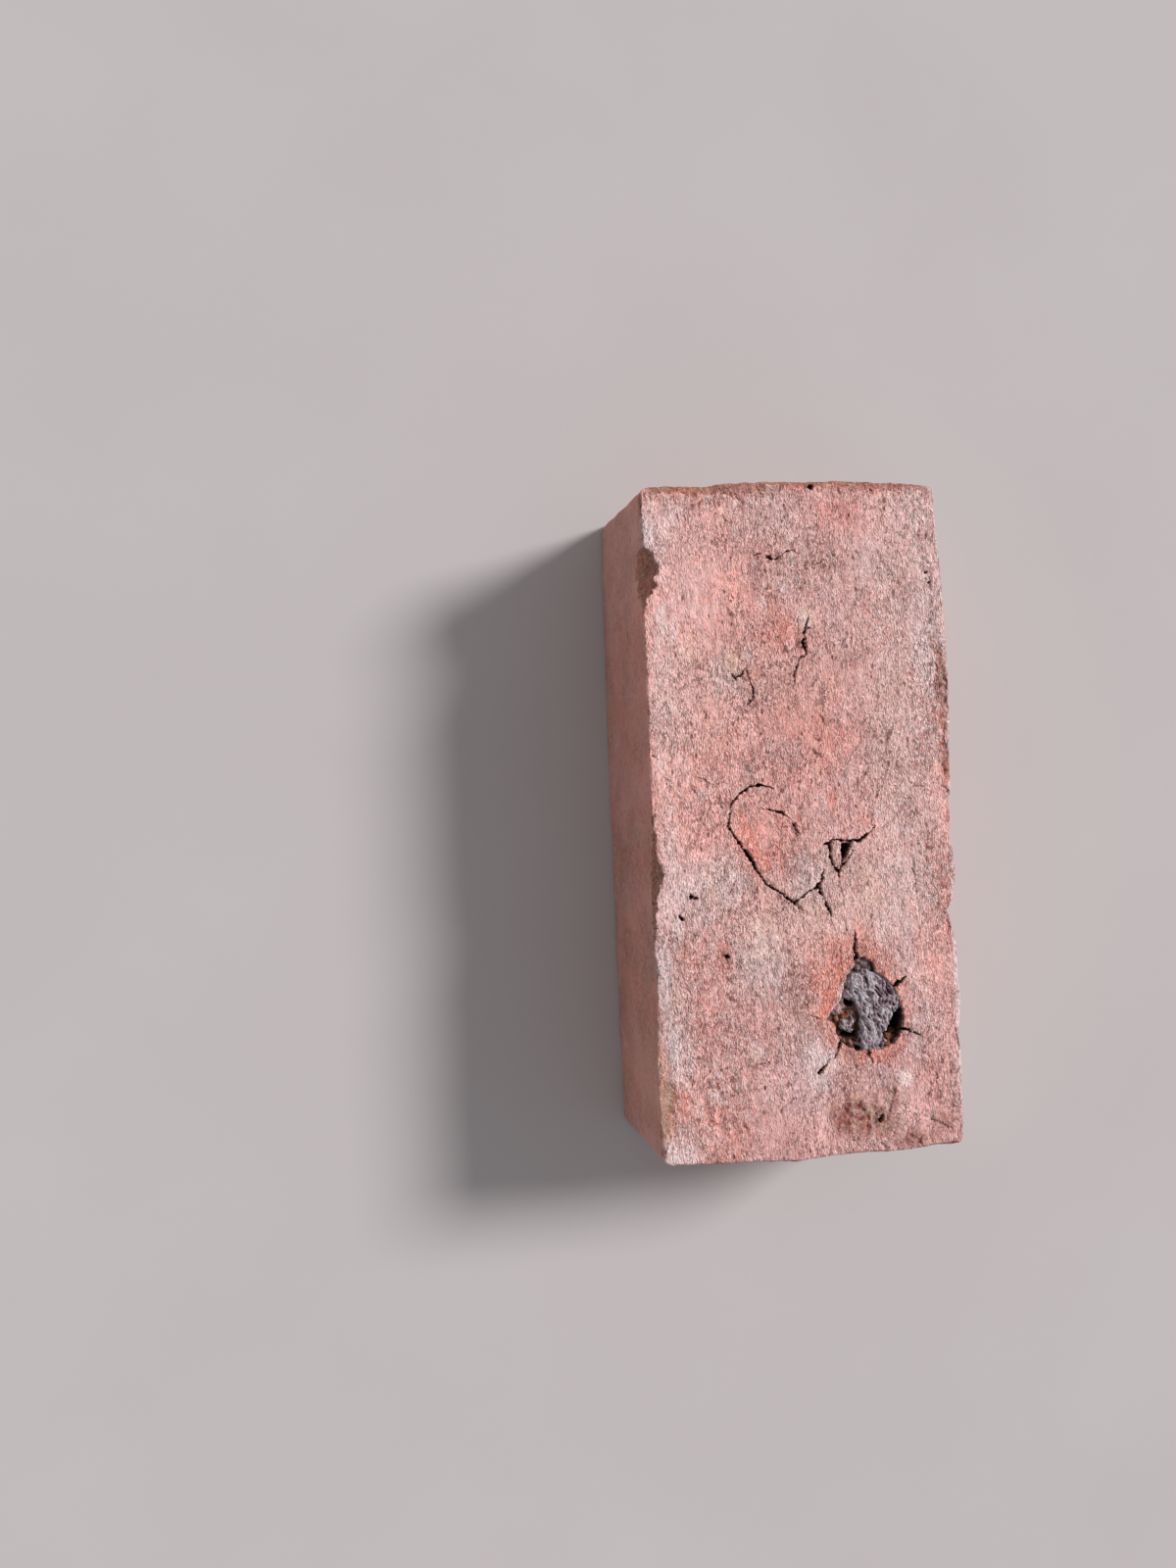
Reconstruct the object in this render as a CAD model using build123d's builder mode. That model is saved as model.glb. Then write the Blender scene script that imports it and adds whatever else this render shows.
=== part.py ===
"""Solid fired clay brick, one piece, with its chips, drying cracks and clinker pit.

Millimetres. X runs along the length, Y across the width, Z up. The origin is the
middle of the bed that the brick lies on.
"""
import os
from math import cos, hypot, radians, sin, sqrt

from build123d import *

os.makedirs("parts", exist_ok=True)

# Overall size: the common solid format of 250 x 120 x 65
brick_length = 250.0
brick_width = 120.0
brick_height = 65.0

# The clay spreads at the foot, so the walls lean in towards the struck top face
foot_end_bow = 1.4       # how far an end bulges beyond its corners at the foot
foot_side_bow = 0.9      # the same on the long sides
end_lean = 0.8           # top edge inside the foot at the middle of each end
left_lean = 1.8          # the same on the long side at -Y
right_lean = 0.7         # and at +Y
top_end_bow = 1.2
top_left_bow = 0.6
top_right_bow = 1.9
left_shortfall = 2.0     # the -Y side is this much shorter at each end of the top
corner_radius = 3.5
top_arris = 1.5          # rounding of the edges round the top face
foot_arris = 1.0

# Conchoidal chips on the top edges: distance along the edge from the middle of the
# brick, length of the scar, and its bite into the top face
left_chips = ((-92.0, 23.0, 3.8), (20.0, 14.0, 1.5), (103.0, 26.0, 3.0))
right_chips = ((-5.0, 16.0, 1.2), (37.0, 17.0, 2.2), (81.0, 15.0, 1.0))
head_chips = ((-46.0, 24.0, 1.3), (7.5, 6.0, 1.4))
tail_chips = ((-52.0, 14.0, 1.2),)
chip_drop = 5.0          # how far a longer scar runs down the wall
drop_per_length = 0.45   # and a short one, as a share of its length

# Clinker pit: its middle, from the +X end and from the +Y side
pit_from_end = 55.0
pit_from_side = 39.0
pit_depth = 11.0
pit_floor_share = 0.74   # size of the floor against the rim
pit_rim = (
    (-18.0, -3.5), (-12.5, -7.8), (-4.5, -10.0), (0.5, -13.8), (4.1, -16.5),
    (6.0, -13.3), (11.0, -12.3), (16.8, -4.5), (16.4, 6.5), (11.3, 13.0),
    (4.5, 14.5), (-3.0, 12.6), (-9.6, 8.1), (-12.6, 4.2), (-18.5, -0.8),
)

# Slag nodule fused to the floor of the pit, with a dark gap round it
nodule_half_length = 14.0
nodule_half_width = 9.8
nodule_shift = (-0.6, -0.4)
nodule_sides = 14
nodule_lump = 0.1        # depth of its lumps as a share of the radius
nodule_twist = 25.0      # turn of the lumps from one level to the next, degrees
nodule_below_face = 1.6
nodule_root = 1.0        # how far it is fused into the floor
nodule_levels = ((0.0, 0.86), (0.5, 1.0), (0.82, 0.86), (1.0, 0.58))
ridge_height = 0.9
ridge_width = 2.4
ridge_crest_share = 0.35  # width of a ridge at its crest against its foot
ridges = (
    ((-10.5, -1.0), (-5.0, 1.5), (1.0, 0.5), (6.5, 3.5)),
    ((-6.0, 5.0), (0.0, 4.4), (6.0, 6.6), (10.0, 5.4)),
    ((-3.5, -4.5), (2.0, -4.0), (7.5, -6.5), (10.5, -3.0)),
)

# Cracks are grooves with pointed ends that narrow towards their bottom
crack_depth = 3.6
hairline_depth = 2.0
crack_bottom_share = 0.3
overcut = 0.6            # how far a cutter stands out of the face

# Cracks that run out from the pit, points from its middle
pit_crack_width = 1.3
longest_pit_crack = ((10.5, -9.0), (14.0, -11.8), (18.6, -13.9), (22.9, -19.5))
pit_cracks = (
    longest_pit_crack,
    ((-15.0, -2.6), (-19.5, -3.6), (-24.2, -3.6), (-28.2, -3.9)),
    ((-5.5, 7.0), (-7.5, 10.5), (-8.0, 12.5), (-10.0, 16.4)),
    ((8.0, 10.0), (9.9, 14.2), (12.3, 20.3)),
    ((13.0, -0.5), (18.5, 0.3), (22.0, 0.8)),
)
root_hole_radius = 0.9   # small hole at the end of the longest of them

# Oval drying crack: its middle from the +X end and the +Y side, and its strokes
oval_from_end = 114.0
oval_from_side = 75.0
oval_width = 1.1
oval_strokes = (
    ((-22.5, 2.7), (-24.0, -1.6), (-20.7, -10.0), (-12.6, -14.0), (-6.2, -12.9),
     (2.7, -6.8), (7.5, -4.2), (14.4, 2.3), (19.8, 9.0)),
    ((18.6, 8.6), (16.0, 14.9), (12.2, 20.0), (8.0, 21.4)),
    ((13.6, 18.2), (16.1, 19.8), (22.4, 22.4), (26.8, 23.0)),
)
oval_inner = ((-15.4, -2.4), (-13.3, 6.4), (-12.0, 8.4), (-8.7, 10.2))

# Teardrop flap of lifted skin, with a hole beside it, points from the hole
flap_from_end = 113.5
flap_from_side = 44.5
flap_crack_width = 0.8
flap_strokes = (
    ((-1.8, -8.3), (-3.7, -5.5), (-2.9, -2.0), (-2.5, 2.5), (-4.6, 8.0), (-8.0, 11.4)),
    ((-3.2, -6.9), (0.2, -6.7), (4.2, -6.3), (8.6, -3.6)),
    ((7.4, -3.2), (4.6, 0.0), (0.4, 2.6), (-2.8, 2.9)),
)
flap_hole = ((-2.3, -2.1), (-2.3, 2.5), (-0.1, 2.1), (2.8, 0.0), (2.7, -2.3))
flap_hole_depth = 5.5
flap_hole_floor_share = 0.6

# Rip and short cracks nearer the -X end, from that end and the +Y side
rip_from_end = 63.0
rip_from_side = 58.0
rip_width = 1.6
rip = ((-11.4, 2.1), (-5.8, 0.5), (-2.7, 0.1), (2.1, 0.3), (6.0, -2.8), (12.9, -4.1))
short_crack_width = 0.8
short_cracks = (
    ((7.4, -22.4), (9.1, -21.6), (12.1, -20.6), (15.2, -20.1), (19.5, -22.1)),
    ((8.3, -28.1), (9.9, -26.6), (9.2, -24.6), (4.8, -21.9)),
    ((-34.6, -17.6), (-35.5, -15.6), (-34.0, -11.1), (-34.2, -7.4), (-36.8, -1.8)),
)

# Pinholes where grit fell out: from the +X end, from the -Y side, and the radius
pinholes = ((98.5, 15.7, 1.2), (91.0, 11.4, 0.9), (76.5, 26.7, 1.3), (12.7, 84.0, 1.0))
pinhole_sides = 6
pinhole_depth = 3.0
pinhole_taper = 12.0     # degrees

# Shallow broken patch near the +X end, from that end and from the +Y side
spall_from_end = 13.0
spall_from_side = 42.0
spall_depth = 0.7
spall_floor_share = 0.8
spall_outline = (
    (-5.5, -8.0), (-7.0, 0.0), (-4.0, 6.0), (-5.0, 9.5), (3.0, 8.5), (5.5, 2.0), (4.0, -6.5),
)

half_length = brick_length / 2
half_width = brick_width / 2
top = Plane.XY.offset(brick_height)
pit_middle = (half_length - pit_from_end, half_width - pit_from_side)
oval_middle = (half_length - oval_from_end, half_width - oval_from_side)
flap_middle = (half_length - flap_from_end, half_width - flap_from_side)
rip_middle = (rip_from_end - half_length, half_width - rip_from_side)
spall_middle = (half_length - spall_from_end, half_width - spall_from_side)


def shifted(points, middle, share=1.0):
    """Points measured from a feature's middle, moved to their place on the brick."""
    return [(middle[0] + share * x, middle[1] + share * y) for x, y in points]


def level_corners(lean, end_bow, left_bow, right_bow, shortfall):
    """Middles of the four sides and the four corners of one level of the body."""
    end = half_length - lean * end_lean
    left = -half_width + lean * left_lean
    right = half_width - lean * right_lean
    short_end = end - end_bow - shortfall
    middles = ((0, left), (end, 0), (0, right), (-end, 0))
    corners = (
        (-short_end, left + left_bow), (short_end, left + left_bow),
        (end - end_bow, right - right_bow), (-end + end_bow, right - right_bow),
    )
    return middles, corners


def level_sketch(height, lean, end_bow, left_bow, right_bow, shortfall):
    """One level of the body: four bowed sides between rounded corners."""
    middles, corners = level_corners(lean, end_bow, left_bow, right_bow, shortfall)
    with BuildSketch(Plane.XY.offset(height)) as level:
        with BuildLine():
            for side in range(4):
                ThreePointArc(corners[side], middles[side], corners[(side + 1) % 4])
        make_face()
        fillet(level.vertices(), corner_radius)
    return level.sketch


def groove_outline(points, width):
    """Closed outline round a line of points, pointed at its ends and widest between."""
    last = len(points) - 1
    left = []
    right = []
    for i in range(1, last):
        (x0, y0), (x1, y1) = points[i - 1], points[i + 1]
        reach = hypot(x1 - x0, y1 - y0)
        half = width / 2 * sqrt(sin(radians(180 * i / last)))
        across = ((y0 - y1) / reach * half, (x1 - x0) / reach * half)
        left.append((points[i][0] + across[0], points[i][1] + across[1]))
        right.append((points[i][0] - across[0], points[i][1] - across[1]))
    return [points[0], *left, points[last], *reversed(right)]


def polygon_loft(levels):
    """Solid between polygons of as many corners, given as pairs of height and points."""
    with BuildPart() as solid:
        for height, points in levels:
            with BuildSketch(Plane.XY.offset(height)):
                with BuildLine():
                    Polyline(*points, close=True)
                make_face()
        loft(ruled=True)
    return solid.part


def crack_cutter(points, width, depth):
    """Groove under the top face that narrows to its bottom."""
    return polygon_loft((
        (brick_height + overcut, groove_outline(points, width)),
        (brick_height - depth, groove_outline(points, width * crack_bottom_share)),
    ))


def chip_cutter(edge_point, outward, length, bite):
    """Ball that leaves a shell-shaped scar of this length and bite on a top edge."""
    drop = min(chip_drop, drop_per_length * length)
    plan_radius = (length**2 / 4 + bite**2) / (2 * bite)
    rise = (length**2 / 4 - drop**2) / (2 * drop)
    offset = plan_radius - bite
    middle = (
        edge_point[0] + outward[0] * offset,
        edge_point[1] + outward[1] * offset,
        brick_height + rise,
    )
    with BuildPart() as chip:
        with Locations(middle):
            Sphere(hypot(plan_radius, rise))
    return chip.part


def nodule_ring(share, turn):
    """Outline of the nodule at one level, lumpy by the sum of two waves."""
    points = []
    for i in range(nodule_sides):
        angle = 360 / nodule_sides * i
        lump = sin(radians(3 * angle + turn)) + 0.6 * sin(radians(5 * angle - 2 * turn))
        radius = share * (1 + nodule_lump * lump)
        points.append((
            nodule_half_length * radius * cos(radians(angle)),
            nodule_half_width * radius * sin(radians(angle)),
        ))
    return shifted(points, (pit_middle[0] + nodule_shift[0], pit_middle[1] + nodule_shift[1]))


# Body
top_level = (1.0, top_end_bow, top_left_bow, top_right_bow, left_shortfall)
foot_level = (0.0, foot_end_bow, foot_side_bow, foot_side_bow, 0.0)
foot_sketch = level_sketch(0, *foot_level)
top_sketch = level_sketch(brick_height, *top_level)

# Cutters
cutters = []
for along, length, bite in left_chips:
    cutters.append(chip_cutter((along, -half_width + left_lean), (0, -1), length, bite))
for along, length, bite in right_chips:
    cutters.append(chip_cutter((along, half_width - right_lean), (0, 1), length, bite))
for along, length, bite in head_chips:
    cutters.append(chip_cutter((-half_length + end_lean, along), (-1, 0), length, bite))
for along, length, bite in tail_chips:
    cutters.append(chip_cutter((half_length - end_lean, along), (1, 0), length, bite))

for points in pit_cracks:
    cutters.append(crack_cutter(shifted(points, pit_middle), pit_crack_width, crack_depth))
for points in oval_strokes:
    cutters.append(crack_cutter(shifted(points, oval_middle), oval_width, crack_depth))
cutters.append(crack_cutter(shifted(oval_inner, oval_middle), short_crack_width, hairline_depth))
for points in flap_strokes:
    cutters.append(crack_cutter(shifted(points, flap_middle), flap_crack_width, crack_depth))
cutters.append(crack_cutter(shifted(rip, rip_middle), rip_width, crack_depth))
for points in short_cracks:
    cutters.append(crack_cutter(shifted(points, rip_middle), short_crack_width, hairline_depth))

cutters.append(polygon_loft((
    (brick_height + overcut, shifted(flap_hole, flap_middle)),
    (brick_height - flap_hole_depth, shifted(flap_hole, flap_middle, flap_hole_floor_share)),
)))
cutters.append(polygon_loft((
    (brick_height + overcut, shifted(spall_outline, spall_middle)),
    (brick_height - spall_depth, shifted(spall_outline, spall_middle, spall_floor_share)),
)))
cutters.append(polygon_loft((
    (brick_height + overcut, shifted(pit_rim, pit_middle)),
    (brick_height - pit_depth, shifted(pit_rim, pit_middle, pit_floor_share)),
)))

# Slag nodule
nodule_foot = brick_height - pit_depth - nodule_root
nodule_top = brick_height - nodule_below_face - ridge_height
nodule_rise = nodule_top - nodule_foot
nodule = polygon_loft([
    (nodule_foot + share_up * nodule_rise, nodule_ring(share, nodule_twist * step))
    for step, (share_up, share) in enumerate(nodule_levels)
])
ridge_solids = []
for points in ridges:
    line = shifted(points, pit_middle)
    ridge_solids.append(polygon_loft((
        (nodule_top - ridge_height, groove_outline(line, ridge_width)),
        (nodule_top + ridge_height, groove_outline(line, ridge_width * ridge_crest_share)),
    )))

with BuildPart() as brick:
    add([foot_sketch, top_sketch])
    loft(ruled=True)
    fillet(brick.faces().sort_by(Axis.Z)[-1].edges(), top_arris)
    fillet(brick.faces().sort_by(Axis.Z)[0].edges(), foot_arris)
    for cutter in cutters:
        add(cutter, mode=Mode.SUBTRACT)
    with BuildSketch(top):
        for from_end, from_side, radius in pinholes:
            with Locations((half_length - from_end, from_side - half_width)):
                RegularPolygon(radius, pinhole_sides)
        with Locations(shifted([longest_pit_crack[-1]], pit_middle)):
            RegularPolygon(root_hole_radius, pinhole_sides)
    extrude(amount=-pinhole_depth, taper=pinhole_taper, mode=Mode.SUBTRACT)
    add(nodule)
    for ridge in ridge_solids:
        add(ridge)

brick.part.label = "brick"
export_step(brick.part, "parts/brick.step")
print("solids", len(brick.part.solids()), "volume in litres", round(brick.part.volume / 1e6, 4))
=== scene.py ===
"""Looks of one solid fired clay brick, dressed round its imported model.

Lengths are millimetres until a mesh is written, when MM turns them into metres.
X runs along the brick, Y across it and Z up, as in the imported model. Its head is the -X
end, its tail the +X end, its left side at -Y and its right side at +Y.
"""

import math

import bmesh
import bpy
import numpy as np
from mathutils import Matrix, Vector


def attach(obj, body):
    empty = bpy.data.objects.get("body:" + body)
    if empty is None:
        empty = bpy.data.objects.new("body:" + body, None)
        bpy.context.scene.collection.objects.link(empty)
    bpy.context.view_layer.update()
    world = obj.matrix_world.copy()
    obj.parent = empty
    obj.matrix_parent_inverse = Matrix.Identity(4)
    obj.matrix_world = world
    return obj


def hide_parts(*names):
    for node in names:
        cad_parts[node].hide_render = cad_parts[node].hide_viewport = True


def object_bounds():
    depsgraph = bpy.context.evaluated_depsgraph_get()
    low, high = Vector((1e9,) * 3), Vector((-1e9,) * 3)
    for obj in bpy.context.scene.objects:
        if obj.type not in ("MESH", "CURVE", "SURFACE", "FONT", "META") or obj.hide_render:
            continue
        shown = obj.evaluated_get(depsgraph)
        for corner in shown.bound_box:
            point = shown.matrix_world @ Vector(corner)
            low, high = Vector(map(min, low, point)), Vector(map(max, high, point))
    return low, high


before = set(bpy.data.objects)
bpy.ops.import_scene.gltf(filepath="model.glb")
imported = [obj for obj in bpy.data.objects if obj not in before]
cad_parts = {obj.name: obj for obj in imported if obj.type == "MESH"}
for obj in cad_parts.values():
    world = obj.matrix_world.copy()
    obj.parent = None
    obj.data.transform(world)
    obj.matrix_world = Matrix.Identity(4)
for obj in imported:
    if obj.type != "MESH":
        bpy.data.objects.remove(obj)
cad_low, cad_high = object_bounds()

MM = 0.001
FAR = 99.0              # a distance that counts as far from everything
CAD_LOW = np.array(cad_low) / MM
CAD_HIGH = np.array(cad_high) / MM
HALF_LENGTH, HALF_WIDTH, HEIGHT = CAD_HIGH
SKIN = 0.02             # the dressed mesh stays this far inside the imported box
FACE_LEVEL = HEIGHT - 0.5   # mean level of the struck face, under its highest grains

# Camera: where it stands, the point of the top face it looks at, and its roll
CAMERA_PLACE = (-9.68, -156.59, 473.59)
CAMERA_TARGET = (-15.61, -80.55, 65.0)
CAMERA_ROLL = -2.31     # degrees
CAMERA_LENS = 27.0      # mm on a 36 mm sensor

# Light and floor, in metres and degrees
SUN_PLACE = (-0.9, 2.2, 1.69)
SUN_SPREAD = 16.0
SUN_STRENGTH = 3.6
SUN_COLOUR = (1.0, 0.985, 0.985)
SKY_COLOUR = (0.97, 0.98, 1.0, 1.0)
SKY_STRENGTH = 0.38
FLOOR_REACH = 4.0

# Bump of the clay in metres, and the middle of a random colour
GRAIN_RELIEF = 0.0032
SAND_RELIEF = 0.0024
MIDDLE = (0.5, 0.5, 0.5)

# Mesh density
CELLS = (264, 124)      # of the top face along X and along Y, multiples of 4
FINE_WALL_RINGS = 5
FINE_WALL_STEP = 1.1
WALL_STEP = 2.0

# Corners, arrises and foot
CORNER_REACH = 5.5
ARRIS_RADIUS = 0.8
FOOT_RADIUS = 1.4
FOOT_END_BOW = 1.4
FOOT_SIDE_BOW = 0.9
FOOT_INSET = 0.25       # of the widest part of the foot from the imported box
BED_INSET = FOOT_RADIUS + 2.0

# Profile of each side of the top face in plan, between its corners
LEFT_SIDE = (
    (-104, -57.4), (-70, -58.1), (-40, -57.8), (-12, -58.2), (6, -57.7), (16, -57.4), (28, -58.8),
    (41, -58.9), (52, -58), (70, -58.8), (86, -59.1), (104, -58.9),
)
RIGHT_SIDE = (
    (-114, 56.3), (-102, 57.2), (-82, 58.2), (-50, 59.3), (-35, 59), (-20, 58.2), (-10, 58.4), (-3, 57.3),
    (3, 57.9), (9, 57.2), (15, 58.2), (23, 58.7), (30, 57.6), (37, 55.9), (43, 56.5), (50, 57.7),
    (60, 57.6), (69, 58.5), (81, 57.2), (91, 57.8), (104, 57.3),
)
HEAD_SIDE = (
    (-121.9, -46), (-122.1, -31), (-123.3, -26), (-123.9, -11), (-124.5, 17), (-123.9, 42),
)
TAIL_SIDE = (
    (122.2, -47), (122.7, -35), (123.3, -22), (124.4, -8), (123.7, 6), (123.7, 20), (124.5, 34),
    (123.5, 46),
)

# Worn top edges: place along the edge, how far the wear reaches in and how far down
LEFT_WEAR = (
    (-125, 1.2, 1.2), (-114, 0.6, 0.8), (-107, 0.6, 0.8), (-101, 0.9, 1.4), (-98, 2.4, 4.5),
    (-94, 4.9, 7.5), (-90, 4.4, 6.5), (-85.5, 3.9, 6), (-81, 1.6, 3), (-76, 0.6, 1), (-40, 0.5, 0.8),
    (-10, 0.6, 1.2), (5, 1.1, 1.8), (12, 1.3, 2.5), (16.5, 2.4, 3), (20, 3.4, 3.4), (24, 1.8, 2.4),
    (38, 1.2, 0.7), (50, 1.5, 0.35), (62, 1.7, 0.3), (76, 1.9, 0.35), (84, 2.2, 0.5), (90, 1.6, 0.9),
    (108, 1.6, 1.2), (116, 1.4, 1), (125, 1.2, 1.2),
)
LEFT_RECESS = (   # a flat step, with its depth at the edge
    (83, 0.2, 0.1), (86, 3.2, 0.5), (92, 5, 0.9), (100, 6, 1.1), (106, 5.4, 1.1), (109.5, 3.4, 0.8),
    (112, 0.2, 0.1),
)
RIGHT_WEAR = (
    (-125, 1, 1), (-95, 0.8, 0.8), (-66, 0.9, 0.9), (-8, 0.9, 1), (-4, 1.5, 1.8), (0, 0.7, 0.8),
    (5, 1, 1.2), (10, 1.5, 2), (14, 0.6, 0.8), (32, 0.8, 1), (37, 2, 3.2), (42, 1.3, 1.6), (50, 0.5, 0.7),
    (78, 0.6, 0.8), (82, 1.4, 1.4), (88, 0.6, 0.8), (108, 0.8, 0.9), (125, 1.6, 1.2),
)
HEAD_WEAR = (
    (-60, 1.4, 1.2), (-52, 2.6, 1.4), (-40, 3, 1.2), (-28, 3.2, 1.3), (-18, 1.6, 0.9), (-8, 1.4, 1),
    (0, 1.8, 1.4), (7, 3, 2.2), (12, 1.8, 1), (30, 2.6, 1), (48, 2.2, 1), (60, 1, 1),
)
TAIL_WEAR = (
    (-60, 1.2, 1.2), (-40, 0.6, 0.8), (10, 0.5, 0.7), (40, 1, 1), (60, 1.8, 1.4),
)

# Sides of the top face: start, profile, end, axis along it, way out, wear and its seed
SIDES = {
    "left": ((-121.6, -57.6), LEFT_SIDE, (121.8, -58.8), 0, -1, LEFT_WEAR, 71),
    "right": ((-123.4, 57.0), RIGHT_SIDE, (124.2, 57.4), 0, 1, RIGHT_WEAR, 76),
    "head": ((-121.6, -57.6), HEAD_SIDE, (-123.4, 57.0), 1, -1, HEAD_WEAR, 81),
    "tail": ((121.8, -58.8), TAIL_SIDE, (124.2, 57.4), 1, 1, TAIL_WEAR, 86),
}

# Clinker pit: its rim and the rim of the slag in it
PIT_DEPTH = 2.5         # between its pockets
PIT_WALL = 1.2          # how far the wall leans in on its way down
PIT_RIM = (
    (52.2, 17.4), (55, 16.3), (58, 13.1), (63.4, 11.5), (66.2, 10.7), (68.6, 8.8), (70.7, 7), (74.1, 4.5),
    (75.9, 7.5), (80.1, 8.3), (83.8, 10.9), (85.3, 13.5), (86.8, 16.9), (86.1, 20), (86.4, 27.5),
    (85, 30.7), (81.1, 34), (74.4, 35.5), (69.1, 34.2), (64.1, 32), (60.4, 29.1), (57.5, 25.1),
    (54.6, 24.2), (51.4, 20.2),
)
SLAG_RIM = (
    (57.6, 16.6), (56.6, 20.9), (57.6, 25.2), (60.4, 29.2), (63.6, 31.8), (67, 33.4), (70.4, 34.2),
    (73.2, 32.6), (75.8, 30.8), (78.6, 29.3), (80.6, 27.4), (83.3, 28.1), (87, 26.6), (87.6, 21.5),
    (86, 18.3), (81.7, 17.2), (78.2, 17.3), (74.6, 18.3), (71.7, 17.1), (68.6, 16.3), (67.4, 13.8),
    (66.2, 12.2), (63, 12.9), (59, 14.6),
)
PIT_POCKETS = (   # X, Y, reach along X, reach along Y, depth
    (68.2, 15, 2.2, 2.4, 5.5), (80.2, 14.2, 1.5, 3.6, 5), (75.6, 31.8, 6.4, 3.6, 8.5),
    (81, 27.8, 1.9, 2.2, 7), (84.4, 12.6, 1, 1.2, 4), (85.6, 17, 1.4, 1.6, 4.5), (55.2, 24, 1.6, 1.2, 4),
    (53, 17.2, 1.4, 1, 4),
)
LUMPS = (   # of slag or clay crumbs: X, Y, radius, depth of the top, share of slag
    (76.2, 12.6, 2.4, 0.7, 1), (75.4, 15, 1.8, 1.1, 0.8), (77.9, 14.6, 1.7, 1.7, 0.6),
    (70.7, 9.6, 2.2, 1, 0.5), (69.4, 11.4, 1.4, 1.5, 0.3), (72.4, 11.6, 1.2, 1.6, 0),
    (73.6, 13, 1.5, 1.5, 0), (72.6, 14.8, 1.3, 2.2, 0.1), (74.2, 9.4, 1.2, 1.6, 0),
    (81.8, 9.8, 1.2, 1.4, 0.2), (82.6, 12, 1.3, 1.9, 0.1), (83.8, 14.4, 1.4, 1.7, 0.2),
    (85.6, 15, 1.1, 1.5, 0), (84, 16.8, 1.2, 2.2, 0.3), (82.2, 16.8, 1, 2.6, 0.2),
    (82.6, 30.2, 1.8, 2.4, 0), (84.4, 28.8, 1.4, 1.3, 0), (80.6, 31.8, 1.2, 3.4, 0),
    (83.2, 32, 1.2, 2.2, 0.1), (54.1, 20.8, 1.8, 1.2, 0.5), (53.6, 18.6, 1.3, 1.4, 0.4),
    (56.2, 22.8, 1.4, 1.6, 0.4), (55.8, 18.4, 1.3, 1.6, 0.6), (54.2, 22.8, 1, 1.8, 0.3),
    (57.2, 20.4, 1.2, 1.5, 0.5), (62, 29.6, 1.4, 1.2, 0.3), (58.4, 26, 1.2, 1.2, 0.2),
    (66.6, 30.8, 1.3, 1.3, 0.2),
)

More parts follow.
